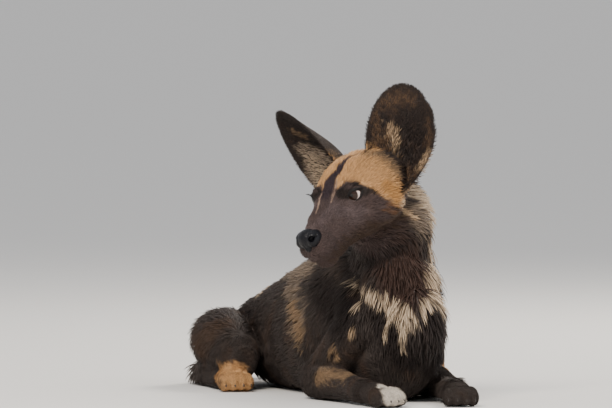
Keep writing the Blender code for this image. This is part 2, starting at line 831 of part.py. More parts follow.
def lock(root, normal, lie, size, scale, trees, raise_by):
    """A flat, tapered lock that follows the surface from a sunk root to a free tip."""
    length = size["length"] * scale
    mesh = bmesh.new()
    lie = (lie - normal * lie.dot(normal)).normalized()
    back, narrow, depth = LOCK_ROOT
    stations = [(root - lie * length * back - normal * (size["core"] + depth), normal, lie, narrow)]
    place, out, before = root, normal, 0.0
    for share, girth, rise in (*LOCK_SECTIONS, (LOCK_TIP[0], 0.0, LOCK_TIP[1])):
        way = (lie - out * lie.dot(out)).normalized()
        place, out, _ = nearest_on(trees, place + way * length * (share - before))
        height = size["lift"] * rise + raise_by * share
        stations.append((place + out * height, out, way, girth))
        before = share
    rings = []
    for centre, out, way, girth in stations[:-1]:
        across = way.cross(out).normalized() * size["width"] * girth
        over = out * size["thickness"] * girth
        rings.append([mesh.verts.new(centre + step) for step in (across, over, -across, -over)])
    for first, second in zip(rings, rings[1:]):
        bridge(mesh, first, second)
    mesh.faces.new(list(reversed(rings[0])))
    tip = mesh.verts.new(stations[-1][0])
    for index in range(4):
        mesh.faces.new((rings[-1][index], rings[-1][(index + 1) % 4], tip))
    bmesh.ops.triangulate(mesh, faces=mesh.faces)
    return new_object("lock", mesh)


def clear_lock(root, normal, lie, size, scale, trees, rooms):
    """A lock raised clear of the neighbours, or else cut clear of them and of the floor."""
    graph = bpy.context.evaluated_depsgraph_get()
    room_trees = [BVHTree.FromObject(room, graph) for room in rooms]
    for raise_by in RAISES:
        piece = lock(root, normal, lie, size, scale, trees, raise_by)
        piece_tree = BVHTree.FromObject(piece, bpy.context.evaluated_depsgraph_get())
        crossed = [room for room, tree in zip(rooms, room_trees) if piece_tree.overlap(tree)]
        if not crossed or raise_by == RAISES[-1]:
            break
        remove(piece)
    for room in crossed:
        combine(piece, room, "DIFFERENCE")
    if min(vertex.co.z for vertex in piece.data.vertices) < 0:
        slice_off(piece, Vector((0, 0, 0)), Vector((0, 0, -1)))
    return piece


def fuse_all(item, pieces):
    """Join an object and many pieces into one with a single union."""
    holder = bpy.data.collections.new("pieces")
    bpy.context.scene.collection.children.link(holder)
    for piece in pieces:
        bpy.context.collection.objects.unlink(piece)
        holder.objects.link(piece)
    fuse = item.modifiers.new("fuse", "BOOLEAN")
    fuse.operation = "UNION"
    fuse.operand_type = "COLLECTION"
    fuse.collection = holder
    fuse.solver = "MANIFOLD"
    apply_modifiers(item)
    remove(*pieces)
    bpy.data.collections.remove(holder)


def grow_locks(item, others, lie_at, share_at):
    """Set locks over an object's free surface, clear of its neighbours, and fuse them to it."""
    size = LOCK_SIZES[item.name]
    draw = random.Random(LOCK_SEEDS[item.name])
    split_faces(item)
    graph = bpy.context.evaluated_depsgraph_get()
    trees = [BVHTree.FromObject(other, graph) for other in others]
    plain = BVHTree.FromObject(item, graph)
    rooms = [grown(other, GAP) for other in others]
    roots = spread_out(free_points(item, trees, size["spacing"], draw, share_at), size["spacing"])
    sink_core(item, trees, size["core"], share_at)
    pieces = []
    for point, normal in roots:
        lie = lie_at(point, draw)
        scale = draw.uniform(*LENGTH_RANGE)
        pieces.append(clear_lock(point, normal, lie, size, scale, [plain, *trees], rooms))
    fuse_all(item, pieces)
    remove(*rooms)


def neck_lie(point, draw):
    """The neck's coat lies down from the head to the shoulders."""
    return Vector(NECK_LIE) + Vector((draw.uniform(-0.2, 0.2), draw.uniform(-0.2, 0.2), 0))


def breast_lie(point, draw):
    """The breast's fringe hangs down in front."""
    return Vector(BREAST_LIE) + Vector((draw.uniform(-0.25, 0.25), 0, 0))


def brush_lie(point, draw):
    """The brush's hair runs along the tail to its tip."""
    centres = [Vector(row[:3]) for row in smooth_rows(TAIL_ROWS, 4)]
    start, end = min(zip(centres, centres[1:]), key=lambda step: (step[0] - point).length)
    return (end - start).normalized() + Vector((0, 0, draw.uniform(-0.1, 0.2)))


def breast_share(point):
    """How much of the fringe a point of the chest carries."""
    reach, low, high = BREAST_REACH
    room = min(BREAST_BACK_Y - point.y, reach - abs(point.x), point.z - low, high - point.z)
    return min(max(room / FADE, 0.0), 1.0)


def nape_share(point):
    """How much of the neck's long coat a point of the head's node carries, behind the skull."""
    behind = (point - Vector(NAPE_MIDDLE)).dot(Vector(NAPE_WAY)) - NAPE_START
    return min(max(min(behind, NAPE_TOP - point.z) / FADE, 0.0), 1.0)


def above_floor(point):
    """How much of the coat a point carries, none of it where it rests on the floor."""
    return min(max(point.z / FADE, 0.0), 1.0)


def grow_coat(nodes):
    """The long locks of the neck, the breast and the tail's brush."""
    named = {node.name: node for node in nodes}
    arms = [named["upper_arm_left"], named["upper_arm_right"]]
    fore = [named[part + side] for part in ("forearm_", "forepaw_") for side in SIDES]
    beside_brush = [named["tail"], named["thigh_left"], named["hind_foot_left"]]
    ears = [named["ear_left"], named["ear_right"]]
    thin_out(named["tail_brush"], BRUSH_CORE_FACES)
    grow_locks(named["tail_brush"], beside_brush, brush_lie, above_floor)
    grow_locks(named["chest"], [named["neck"], named["loin"], *arms, *fore], breast_lie, breast_share)
    grow_locks(named["neck"], [named["head"], named["chest"], *arms, *ears], neck_lie, above_floor)
    grow_locks(named["head"], [named["neck"], *ears], neck_lie, nape_share)


# Parting the body into its named pieces

NECK_TOP = (-0.022, -0.020, 0.212)
NECK_TOP_WAY = (0.35, 0.25, -0.90)
NECK_BASE = ((0.0, -0.088, 0.115), (0.0, 0.48, -0.876))
CHEST_CUT_Y = 0.100
LOIN_CUT_Y = 0.285
TAIL_ROWS_FREE = 1
BRUSH_CUT = ((0.098, 0.490, 0.02), (0.86, -0.50, 0.0))


def form_from(name, stations, facing):
    """A closed tube as an object, used to part the body."""
    mesh = bmesh.new()
    add_tube(mesh, stations, facing, steps=1, sides=ROOM_SIDES, turns=(0.7,))
    return new_object(name, mesh)


def make_room(item, piece):
    """Cut room out of an object for a piece that is set in it or lies against it."""
    room = grown(piece, GAP)
    combine(item, room, "DIFFERENCE")
    remove(room)


def end_with_paw(leg, name, rows, tip_place, side):
    """Cut a leg off above its wrist or ankle and make the paw that goes on from there."""
    wrist = Vector(rows[-1][:3])
    way = (wrist - Vector(rows[-2][:3])).normalized()
    cut = wrist - way * WRIST_CUT
    slice_off(leg, cut - way * GAP / 2, way)
    tip = Vector(to_side([tip_place], side)[0])
    item = paw(name, wrist, tip, PAW_WIDTH, rows[-2:])
    slice_off(item, cut + way * GAP / 2, -way)
    return item


def part_legs(body, side, nodes):
    """Take one side's legs out of the body and divide them."""
    up = Vector((0, 0, 1))
    fore_rows = forearm_stations(side)
    foot_rows = to_side(FOOT, side)
    arm_room = form_from("arm_room", wider(arm_stations(side), 0.009), Vector((0, 1, 0)))
    upper_arm = part_by_form(body, "upper_arm_" + side, arm_room)
    forearm_room = form_from("forearm_room", wider(fore_rows, 0.005), up)
    forearm = part_by_form(body, "forearm_" + side, forearm_room)
    foot_room = form_from("foot_room", wider(foot_rows, 0.0045), up)
    foot = part_by_form(body, "hind_foot_" + side, foot_room)
    thigh_room = form_from("thigh_room", wider(to_side(THIGH, side), 0.007), up)
    thigh = part_by_form(body, "thigh_" + side, thigh_room)
    shank_room = form_from("shank_room", wider(to_side(SHANK, side), 0.006), up)
    shank = part_by_form(body, "shank_" + side, shank_room)
    forepaw = end_with_paw(forearm, "forepaw_" + side, fore_rows, FOREPAW_TIP[side], side)
    hindpaw = end_with_paw(foot, "hindpaw_" + side, foot_rows, HINDPAW_TIP[side], side)
    make_room(shank, hindpaw)
    make_room(thigh, hindpaw)
    make_room(body, hindpaw)
    nodes.extend((upper_arm, forearm, foot, shank, thigh, forepaw, hindpaw))


def build_head(nodes):
    """The head with its lids, mouth line, eyes, nose and ears."""
    head = head_skin()
    line = mouth_cutter(head)
    combine(head, line, "DIFFERENCE")
    remove(line)
    for side in SIDES:
        opening = eye_opening(side)
        combine(head, opening, "DIFFERENCE")
        remove(opening)
        eye = eyeball(side)
        make_room(head, eye)
        nodes.append(eye)
    for side in SIDES:
        item = ear(side)
        make_room(head, item)
        nodes.append(item)
    nose = nose_pad()
    make_room(head, nose)
    nodes.append(nose)
    return head


def build_body():
    """Every named piece of the animal."""
    nodes = []
    body = body_skin()
    slice_off(body, Vector((0, 0, 0)), Vector((0, 0, -1)))
    neck_point = Vector(NECK_TOP)
    neck_way = Vector(NECK_TOP_WAY).normalized()
    slice_off(body, neck_point + neck_way * GAP / 2, -neck_way)
    head = build_head(nodes)
    for node in nodes:
        if node.name.startswith("ear"):
            make_room(body, node)
    slice_off(head, neck_point - neck_way * GAP / 2, neck_way)
    nodes.append(head)
    for side in SIDES:
        part_legs(body, side, nodes)
    chest = part_by_plane(body, "chest", (0, CHEST_CUT_Y, 0), (0, -1, 0))
    neck = part_by_plane(chest, "neck", NECK_BASE[0], -Vector(NECK_BASE[1]))
    rump = part_by_plane(body, "rump", (0, LOIN_CUT_Y, 0), (0, 1, 0))
    tail_room = form_from("tail_room", wider(TAIL_ROWS[TAIL_ROWS_FREE:], 0.006), Vector((0, 0, 1)))
    tail = part_by_form(rump, "tail", tail_room)
    brush = part_by_plane(tail, "tail_brush", *BRUSH_CUT)
    body.name = "loin"
    nodes.extend((body, chest, neck, rump, tail, brush))
    for node in nodes:
        keep_largest(node)
    grow_coat(nodes)
    for node in nodes:
        keep_largest(node)
        simplify(node)
    return nodes


def finish_of(name):
    """Which finish a node has."""
    if name.startswith("eye"):
        return "eye_gloss"
    if name == "nose":
        return "nose_leather"
    if name in ("neck", "tail_brush"):
        return "coat_cream"
    if name == "head":
        return "coat_tan"
    return "coat_dark"


def paint(nodes):
    """Give each node its own material."""
    for node in nodes:
        colour, roughness = FINISHES[finish_of(node.name)]
        material = bpy.data.materials.new(node.name + "_finish")
        material.use_nodes = True
        shader = material.node_tree.nodes["Principled BSDF"]
        shader.inputs["Base Color"].default_value = (*colour, 1)
        shader.inputs["Roughness"].default_value = roughness
        shader.inputs["Metallic"].default_value = 0
        node.data.materials.clear()
        node.data.materials.append(material)


def centre_on_floor(nodes):
    """Move everything so that the middle of its box stands over the origin."""
    corners = [vertex.co for node in nodes for vertex in node.data.vertices]
    for axis in (0, 1):
        low = min(corner[axis] for corner in corners)
        high = max(corner[axis] for corner in corners)
        middle = (low + high) / 2
        for corner in corners:
            corner[axis] -= middle


def main():
    """Clear the scene, build every node, paint it and set it on the floor."""
    for item in list(bpy.data.objects):
        bpy.data.objects.remove(item)
    nodes = build_body()
    paint(nodes)
    centre_on_floor(nodes)
    for node in nodes:
        node.data.shade_smooth()


main()
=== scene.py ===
import json
import math

import bmesh
import bpy
import numpy as np
from mathutils import Matrix, Vector
from mathutils.bvhtree import BVHTree

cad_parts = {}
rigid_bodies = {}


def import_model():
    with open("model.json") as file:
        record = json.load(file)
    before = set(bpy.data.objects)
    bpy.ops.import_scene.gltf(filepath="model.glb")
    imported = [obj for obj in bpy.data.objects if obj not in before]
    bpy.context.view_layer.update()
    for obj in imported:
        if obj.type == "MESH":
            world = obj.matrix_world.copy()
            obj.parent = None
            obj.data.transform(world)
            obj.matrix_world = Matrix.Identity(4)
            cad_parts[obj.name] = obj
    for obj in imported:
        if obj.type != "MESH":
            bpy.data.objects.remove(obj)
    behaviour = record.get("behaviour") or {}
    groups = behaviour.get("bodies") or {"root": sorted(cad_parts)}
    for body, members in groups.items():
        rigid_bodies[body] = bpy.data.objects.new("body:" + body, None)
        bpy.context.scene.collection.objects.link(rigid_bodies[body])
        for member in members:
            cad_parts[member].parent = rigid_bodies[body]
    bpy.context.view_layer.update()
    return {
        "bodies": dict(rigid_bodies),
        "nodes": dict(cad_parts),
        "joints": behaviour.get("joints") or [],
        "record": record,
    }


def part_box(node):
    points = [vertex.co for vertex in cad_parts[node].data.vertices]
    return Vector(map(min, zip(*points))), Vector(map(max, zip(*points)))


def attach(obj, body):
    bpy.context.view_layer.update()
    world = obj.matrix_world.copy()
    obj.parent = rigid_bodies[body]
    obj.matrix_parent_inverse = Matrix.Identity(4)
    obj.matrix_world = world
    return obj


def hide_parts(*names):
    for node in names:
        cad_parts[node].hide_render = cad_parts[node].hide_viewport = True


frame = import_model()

# The head's place and turn in the dog's own frame: it faces -Y and its left side is +X
EYE_SPACING = 0.057
EYE_RADIUS = 0.0103
EYE_PLACE = (-0.0065, EYE_SPACING / 2, 0.0050)
MID_EYES = Vector((-0.0940, -0.0608, 0.2367))
HEAD_YAW = math.radians(61)
HEAD_PITCH = math.radians(30.6)
HEAD_ROLL = math.radians(8)

# The floor reaches past the top of the picture, so that it alone is the background
FLOOR_HALF = 60.0

# Fineness of the skin
SKIN_VOXEL = 0.0019
NOSE_VOXEL = 0.0007
NOSTRIL_VOXEL = 0.0004
EAR_RINGS = 26
EAR_SPOKES = 72
TUBE_SIDES = 28

# Camera of the photograph, in the dog's own frame
VIEW_TURN = math.radians(-21)
VIEW_RISE = math.radians(2)
VIEW_DISTANCE = 10.0
VIEW_WIDTH = 0.722
VIEW_CENTRE = (-0.1015, 0.2313)
SENSOR = 36.0
LAMP_TARGET = Vector((0, 0, 0.15))

# How many times over the tufts cover the skin, from their own length and width
COVER = 2.7
TUFTS_PER_PIECE = 12000
PATCH = 0.003
COAT_SEED = 4097
UNWRAP_FACES = 6000
# Painted shade on the skin under the tufts: how dark it is, as a share of their colour
SKIN_SHADE_UNDER_COAT = 0.7

# Palette of the coat and the bare skin
BLACK = (0.022, 0.015, 0.013)
SMOKE = (0.050, 0.038, 0.033)
UMBER = (0.070, 0.042, 0.028)
PLUM = (0.086, 0.058, 0.053)
SOOT = (0.046, 0.030, 0.036)
# Painted highlight for the top of the muzzle and the cheek
MUZZLE_HIGHLIGHT = (0.118, 0.085, 0.083)
THROAT = (0.050, 0.027, 0.020)
RUST = (0.20, 0.095, 0.045)
BROWN = (0.125, 0.072, 0.040)
FAWN = (0.44, 0.340, 0.250)
ASH = (0.22, 0.165, 0.120)
OCHRE = (0.28, 0.180, 0.100)
GOLD = (0.58, 0.300, 0.105)
TAN = (0.66, 0.370, 0.160)
ROSE = (0.40, 0.270, 0.200)
SAND = (0.58, 0.400, 0.240)
CREAM = (0.60, 0.460, 0.320)
WHITE = (0.78, 0.700, 0.600)


# Units and frames

# Places and sizes in the tables are in millimetres, and are turned into metres by this number
PER_METRE = 1000


def metres(value):
    """Millimetres as metres, in nested rows too."""
    if isinstance(value, tuple):
        return tuple(metres(part) for part in value)
    return value / PER_METRE


UPRIGHT = Vector((0, 0, 1))
REARWARD = Vector((0, 1, 0))


def head_axes():
    """The head's forward, left and up directions."""
    ahead = Vector((-math.sin(HEAD_YAW), -math.cos(HEAD_YAW), 0))
    forward = ahead * math.cos(HEAD_PITCH) - Vector((0, 0, math.sin(HEAD_PITCH)))
    level_left = UPRIGHT.cross(ahead)
    level_up = forward.cross(level_left)
    left = level_left * math.cos(HEAD_ROLL) + level_up * math.sin(HEAD_ROLL)
    return forward, left, forward.cross(left)


FORWARD, LEFT, UP = HEAD_AXES = head_axes()
HEAD_TURN = np.array(HEAD_AXES)


def head_point(x, y, z):
    """A point of the head, from metres ahead of, left of and above the middle of the eyes."""
    return MID_EYES + FORWARD * x + LEFT * y + UP * z


def head_way(x, y, z):
    """A direction given in the head's own axes."""
    return (FORWARD * x + LEFT * y + UP * z).normalized()


def mirrored_point(place, sign):
    """A point of the head's left side, or its mirror image where the sign is negative."""
    return head_point(place[0], place[1] * sign, place[2])


def shift_to_part():
    """How far the dog's own frame lies from the part's, found from the left eye's box."""
    low, high = (Vector(corner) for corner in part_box("eye_left"))
    return (low + high) / 2 - head_point(*EYE_PLACE)


SHIFT = shift_to_part()


def smooth_rows(rows, steps):
    """Rows of numbers read from a smooth curve through the given rows."""
    result = []
    last = len(rows) - 1
    for index in range(last):
        before = rows[max(index - 1, 0)]
        start = rows[index]
        end = rows[index + 1]
        after = rows[min(index + 2, last)]
        for step in range(steps):
            t = step / steps
            result.append([
                0.5 * (2 * b + (c - a) * t + (2 * a - 5 * b + 4 * c - d) * t * t
                       + (3 * b - a - 3 * c + d) * t ** 3)
                for a, b, c, d in zip(before, start, end, after)
            ])
    result.append(list(rows[last]))
    return result


# Closed forms

def ring(mesh, centre, side, top, width, height, power, sides):
    """One rounded section of a tube."""
    corners = []
    for index in range(sides):
        angle = 2 * math.pi * index / sides
        c, s = math.cos(angle), math.sin(angle)
        across = math.copysign(abs(c) ** (2 / power), c) * width
        along = math.copysign(abs(s) ** (2 / power), s) * height
        corners.append(mesh.verts.new(centre + side * across + top * along))
    return corners


def bridge(mesh, first, second):
    """The band of faces between two rings."""
    count = len(first)
    for index in range(count):
        following = (index + 1) % count
        mesh.faces.new((first[index], first[following], second[following], second[index]))


# Turns of the rings that round off a tube's end
END_TURNS = (1.3, 1.0, 0.65, 0.3, 0.0)


def add_tube(mesh, stations, facing, steps=6, power=2.0, sides=TUBE_SIDES, blunt=0.8):
    """A closed tube with round ends. A station is x, y, z, half width, half height."""
    rows = smooth_rows(stations, steps)
    centres = [Vector(row[:3]) for row in rows]
    rings = []
    for index, row in enumerate(rows):
        tangent = centres[min(index + 1, len(rows) - 1)] - centres[max(index - 1, 0)]
        tangent.normalize()
        side = tangent.cross(facing).normalized()
        top = side.cross(tangent).normalized()
        rounds = [(0.0, 1.0)]
        if index in (0, len(rows) - 1):
            rounds = [(math.sin(turn) * blunt, math.cos(turn)) for turn in END_TURNS]
        outward = -1 if index == 0 else 1
        if index == len(rows) - 1:
            rounds.reverse()
        for push, shrink in rounds:
            centre = centres[index] + tangent * (outward * push * min(row[3], row[4]))
            rings.append(ring(mesh, centre, side, top, row[3] * shrink, row[4] * shrink, power, sides))
    for first, second in zip(rings, rings[1:]):
        bridge(mesh, first, second)
    mesh.faces.new(list(reversed(rings[0])))
    mesh.faces.new(rings[-1])


def add_blob(mesh, centre, radii, axes=None, rows=14):
    """A closed ellipsoid with its three radii along the given axes."""
    turn = Matrix(axes).transposed() if axes else Matrix.Identity(3)
    made = bmesh.ops.create_uvsphere(mesh, u_segments=2 * rows, v_segments=rows, radius=1)
    for vertex in made["verts"]:
        scaled = Vector([c * r for c, r in zip(vertex.co, radii)])
        vertex.co = Vector(centre) + turn @ scaled


def place_object(name, data):
    """A new object in the scene for a mesh, a lamp or a camera."""
    item = bpy.data.objects.new(name, data)
    bpy.context.collection.objects.link(item)
    return item


def new_object(name, mesh):
    """An object in the scene from a bmesh, which is then freed."""
    bmesh.ops.recalc_face_normals(mesh, faces=mesh.faces)
    data = bpy.data.meshes.new(name)
    mesh.to_mesh(data)
    mesh.free()
    return place_object(name, data)


def surface_of(item):
    """An object's surface, ready to be asked for its nearest point."""
    return BVHTree.FromObject(item, bpy.context.evaluated_depsgraph_get())


def apply_modifiers(item):
    """Put what an object's modifiers make into its own mesh."""
    graph = bpy.context.evaluated_depsgraph_get()
    made = bpy.data.meshes.new_from_object(item.evaluated_get(graph))
    item.modifiers.clear()
    old = item.data
    item.data = made
    bpy.data.meshes.remove(old)


def merge_forms(item, voxel, rounds):
    """Make overlapping closed forms one smooth skin."""
    remesh = item.modifiers.new("one_skin", "REMESH")
    remesh.mode = "VOXEL"
    remesh.voxel_size = voxel
    soften = item.modifiers.new("soften", "SMOOTH")
    soften.factor = 0.5
    soften.iterations = rounds
    apply_modifiers(item)


def combine(item, tool, operation):
    """Cut an object with another or join them, and take the other away."""
    change = item.modifiers.new("combine", "BOOLEAN")
    change.operation = operation
    change.object = tool
    change.solver = "MANIFOLD"
    apply_modifiers(item)
    bpy.data.objects.remove(tool)


def points_of(item):
    """An object's corners and their outward directions as arrays."""
    count = len(item.data.vertices)
    points = np.empty(count * 3)
    normals = np.empty(count * 3)
    item.data.vertices.foreach_get("co", points)
    item.data.vertices.foreach_get("normal", normals)
    return points.reshape(-1, 3), normals.reshape(-1, 3)


def set_points(item, points):
    """Give an object's corners new places."""
    item.data.vertices.foreach_set("co", np.ascontiguousarray(points).ravel())
    item.data.update()


def push_out(item, centre, reach, shift):
    """Move the surface round a point by a shift that fades to nothing at its reach."""
    points, _ = points_of(item)
    gap = ((points - np.array(centre)) ** 2).sum(1) / reach ** 2
    share = np.clip(1 - gap, 0, 1) ** 2
    set_points(item, points + share[:, None] * np.array(shift))


# Forms of the trunk, neck, tail and legs, as in the part's solids

TRUNK_LENGTH = 0.535
CHEST_DEPTH = 0.190
CHEST_WIDTH = 0.146
BREAST_Y = -0.088
TRUNK_SQUARENESS = 2.3
# Place along the trunk as a share of its length; half width as a share of the chest's width;
# top and underside as shares of its depth
TRUNK_ROWS = (
    (0.00, 0.20, 0.74, 0.30),
    (0.06, 0.295, 0.88, 0.12),
    (0.15, 0.40, 0.98, -0.02),
    (0.26, 0.47, 1.01, -0.03),
    (0.40, 0.51, 0.94, -0.03),
    (0.54, 0.50, 0.84, -0.03),
    (0.68, 0.45, 0.73, -0.02),
    (0.80, 0.41, 0.65, 0.00),
    (0.91, 0.35, 0.57, 0.08),
    (1.00, 0.22, 0.46, 0.18),
)
BREAST_PLACE = (-0.005, -0.038, 0.132)
BREAST_RADII = (0.047, 0.044, 0.062)
NECK_ROWS = metres((
    (4, 50, 105, 58, 68), (1, 10, 145, 51, 62), (-5, -12, 180, 47, 56), (-15, -22, 215, 54, 54),
    (-35, -29, 238, 44, 44),
))
TAIL_ROWS = metres((
    (0, 405, 76, 24, 22), (4, 450, 58, 21, 19), (30, 486, 32, 19, 18), (76, 494, 22, 22, 22),
    (122, 476, 23, 28, 26), (154, 432, 24, 30, 28), (162, 384, 21, 22, 24), (162, 356, 18, 8, 10),
))
UPPER_ARM = metres((
    (38, 14, 128, 24, 34), (46, -10, 98, 24, 36), (55, 10, 66, 25, 33), (63, 42, 40, 22, 27),
    (67, 60, 28, 19, 24),
))
THIGH = metres((
    (52, 402, 64, 30, 29), (73, 373, 56, 40, 37), (86, 316, 49, 33, 38), (94, 266, 42, 25, 30),
    (96, 242, 36, 18, 22),
))
SHANK = metres((
    (96, 252, 35, 19, 22), (94, 308, 29, 21, 22), (92, 363, 23, 18, 18), (92, 396, 18, 14, 15),
    (93, 408, 16, 12, 14),
))
FOOT = metres((
    (93, 406, 15, 13, 15), (98, 363, 12, 13, 13), (103, 313, 11, 14, 12), (107, 278, 11, 16, 12),
))
ARM_TUCK = {"left": 0.014, "right": 0.0}
ELBOW = {"left": (0.066, 0.060, 0.025), "right": (0.072, 0.056, 0.025)}
WRIST = {"left": (0.040, -0.098, 0.016), "right": (0.070, -0.088, 0.016)}
FOREPAW_TIP = {"left": (0.022, -0.165, 0.010), "right": (0.060, -0.155, 0.010)}
HINDPAW_TIP = (0.113, 0.214, 0.010)
FOREARM_GIRTH = (
    (0.00, 0.021, 0.026),
    (0.18, 0.020, 0.024),
    (0.50, 0.0165, 0.019),
    (0.80, 0.0135, 0.0155),
    (1.00, 0.0150, 0.0155),
)
PAW_WIDTH = 0.040
PAD_RADII = (0.026, PAW_WIDTH * 0.44, 0.0145)
# Where the four toes stand across the paw, from one edge to the other
TOES = [(index - 1.5) / 1.5 for index in range(4)]
TOE_SPREAD = 0.16
TOE_RADII = metres((17.5, 7.8, 12))
SIDES = {"left": 1, "right": -1}


def trunk_stations():
    """The trunk's sections in metres, from the breast to the tail's root."""
    rows = []
    for share, width, top, bottom in TRUNK_ROWS:
        middle = CHEST_DEPTH * (top + bottom) / 2
        half = CHEST_DEPTH * (top - bottom) / 2
        rows.append((0.0, BREAST_Y + share * TRUNK_LENGTH, middle, CHEST_WIDTH * width, half))
    return rows


def to_side(rows, side):
    """Rows of the left side, mirrored for the right side."""
    return [(row[0] * SIDES[side], *row[1:]) for row in rows]


def arm_stations(side):
    """The upper arm's sections; the left arm is drawn in under the leaning chest."""
    rows = []
    for index, (x, *rest) in enumerate(UPPER_ARM):
        ease = min(1, (len(UPPER_ARM) - 1 - index) / 2)
        rows.append(((x - ARM_TUCK[side] * ease) * SIDES[side], *rest))
    return rows


def forearm_stations(side):
    """The forearm's sections from elbow to wrist."""
    start = Vector(to_side([ELBOW[side]], side)[0])
    end = Vector(to_side([WRIST[side]], side)[0])
    return [(*start.lerp(end, share), width, height) for share, width, height in FOREARM_GIRTH]


def paw_places():
    """The wrist or ankle and the tip of each of the four paws."""
    places = []
    for side in SIDES:
        places.append((to_side([WRIST[side]], side)[0], to_side([FOREPAW_TIP[side]], side)[0]))
        places.append((to_side([FOOT[-1][:3]], side)[0], to_side([HINDPAW_TIP], side)[0]))
    return [(Vector(wrist), Vector(tip)) for wrist, tip in places]


def paw_ways(wrist, tip):
    """A paw's direction and the direction across it."""
    along = (tip - wrist).normalized()
    return along, UPRIGHT.cross(along).normalized()


def add_toes(mesh, wrist, tip):
    """Four toes and the pad between a wrist or ankle and the paw's tip."""
    along, across = paw_ways(wrist, tip)
    for place in TOES:
        inner = 1 - abs(place)
        centre = tip - along * (0.017 - 0.006 * inner) + across * (place * PAW_WIDTH * 0.33)
        centre.z = 0.0115 + 0.0015 * inner
        heading = (along + across * place * TOE_SPREAD).normalized()
        add_blob(mesh, centre, TOE_RADII, (heading, UPRIGHT.cross(heading), UPRIGHT))
    pad = wrist.lerp(tip, 0.42)
    pad.z = 0.0135
    add_blob(mesh, pad, PAD_RADII, (along, across, UPRIGHT))


def add_body_forms(mesh):
    """Trunk, neck, breast, tail, legs and paws as overlapping closed forms."""
    add_tube(mesh, trunk_stations(), UPRIGHT, power=TRUNK_SQUARENESS)
    add_tube(mesh, NECK_ROWS, REARWARD)
    add_blob(mesh, BREAST_PLACE, BREAST_RADII)
    add_tube(mesh, TAIL_ROWS, UPRIGHT)
    for side in SIDES:
        add_tube(mesh, arm_stations(side), REARWARD)
        add_tube(mesh, forearm_stations(side), UPRIGHT)
        for rows in (THIGH, SHANK, FOOT):
            add_tube(mesh, to_side(rows, side), UPRIGHT)
    for wrist, tip in paw_places():
        add_toes(mesh, wrist, tip)


# Head

# Place ahead of the eyes, half width, top and underside
HEAD_ROWS = metres((
    (67, 13, 0.5, -36), (58, 17, 3.5, -45), (44, 21, 6.5, -52), (30, 24.5, 9.5, -50), (18, 29, 12.5, -51),
    (5, 37, 17, -53), (-10, 45, 22, -56), (-26, 51, 28.5, -58), (-44, 54, 32, -59), (-60, 52, 30.5, -57),
    (-76, 45, 22, -52), (-88, 35, 9, -46),
))
# Middles and radii
CHEEK = metres(((-32, 37, -22), (34, 21, 26)))
LIP = metres(((56, 11, -24), (18, 11.5, 14)))
BROW = metres(((-10, 25.5, 11.5), (16, 8, 6.8)))
CHIN = metres(((53, 0, -42.5), (14.5, 15, 11)))
EYE_AIM = (0.80, 0.58, 0.12)
EYE_SLOPE = 0.20
EYE_OPENING = (0.0109, 0.0057)
OPENING_POINTS = 36
LID_DEPTH = 0.0019
IRIS_AIM = (0.91, 0.24, 0.25)
NOSE_PLACE = (0.0665, 0.0, -0.0085)
MOUTH_GIRTH = 0.0010
MOUTH_ROUTE = metres((
    (70, 0, -26.5), (64, 12, -28), (54, 20, -30), (40, 24, -32), (24, 28, -34.5), (10, 34, -36),
    (0, 40, -35),
))


def head_stations():
    """The head's sections in the dog's frame."""
    rows = []
    for x, width, top, bottom in HEAD_ROWS:
        centre = head_point(x, 0, (top + bottom) / 2)
        rows.append((*centre, width, (top - bottom) / 2))
    return rows


def eye_frame(side):
    """The centre of an eyeball and its outward, along and upward directions."""
    sign = SIDES[side]
    centre = mirrored_point(EYE_PLACE, sign)
    aim = head_way(EYE_AIM[0], EYE_AIM[1] * sign, EYE_AIM[2])
    along = head_way(-EYE_AIM[1], EYE_AIM[0] * sign, EYE_SLOPE)
    along = (along - aim * along.dot(aim)).normalized()
    return centre, aim, along, aim.cross(along) * sign


def almond(angle):
    """The lids' outline, as shares of the opening's half length and half height."""
    across = math.cos(angle)
    return across, math.sin(angle) * math.sqrt(max(1 - abs(across) ** 1.5, 0)) * 1.12


def lid_edge(frame, angle, wider=1.0, higher=1.0):
    """A point of the lids' outline, from the eyeball's middle and square to its aim."""
    across, height = almond(angle)
    return frame[2] * across * EYE_OPENING[0] * wider + frame[3] * height * EYE_OPENING[1] * higher


def over_eyeball(frame, flat, clearance):
    """The outline's point moved forward to a clearance over the eyeball."""
    depth = math.sqrt(max((EYE_RADIUS + clearance) ** 2 - flat.length_squared, 0.0))
    return frame[0] + frame[1] * depth + flat


def eye_opening(side):
    """A wedge that widens from the eyeball, in the almond outline between the lids."""
    frame = eye_frame(side)
    edge = [lid_edge(frame, 2 * math.pi * index / OPENING_POINTS) for index in range(OPENING_POINTS)]
    mesh = bmesh.new()
    rings = []
    for reach, scale in ((0.25, 0.30), (2.0, 2.0)):
        middle = frame[0] + frame[1] * EYE_RADIUS * reach
        rings.append([mesh.verts.new(middle + place * scale) for place in edge])
    bridge(mesh, *rings)
    mesh.faces.new(list(reversed(rings[0])))
    mesh.faces.new(rings[1])
    return new_object("eye_opening", mesh)


def add_head_forms(mesh):
    """The skull, muzzle, lips, cheeks, brows and lids as overlapping closed forms."""
    add_tube(mesh, head_stations(), UP, power=2.25, blunt=0.5)
    for sign in SIDES.values():
        for place, radii in (CHEEK, LIP, BROW):
            add_blob(mesh, mirrored_point(place, sign), radii, HEAD_AXES)
    add_blob(mesh, head_point(*CHIN[0]), CHIN[1], HEAD_AXES)
    for side in SIDES:
        centre, aim, along, up = eye_frame(side)
        reach = EYE_RADIUS + LID_DEPTH
        add_blob(mesh, centre, (reach, reach * 1.05, reach), (aim, along, up))


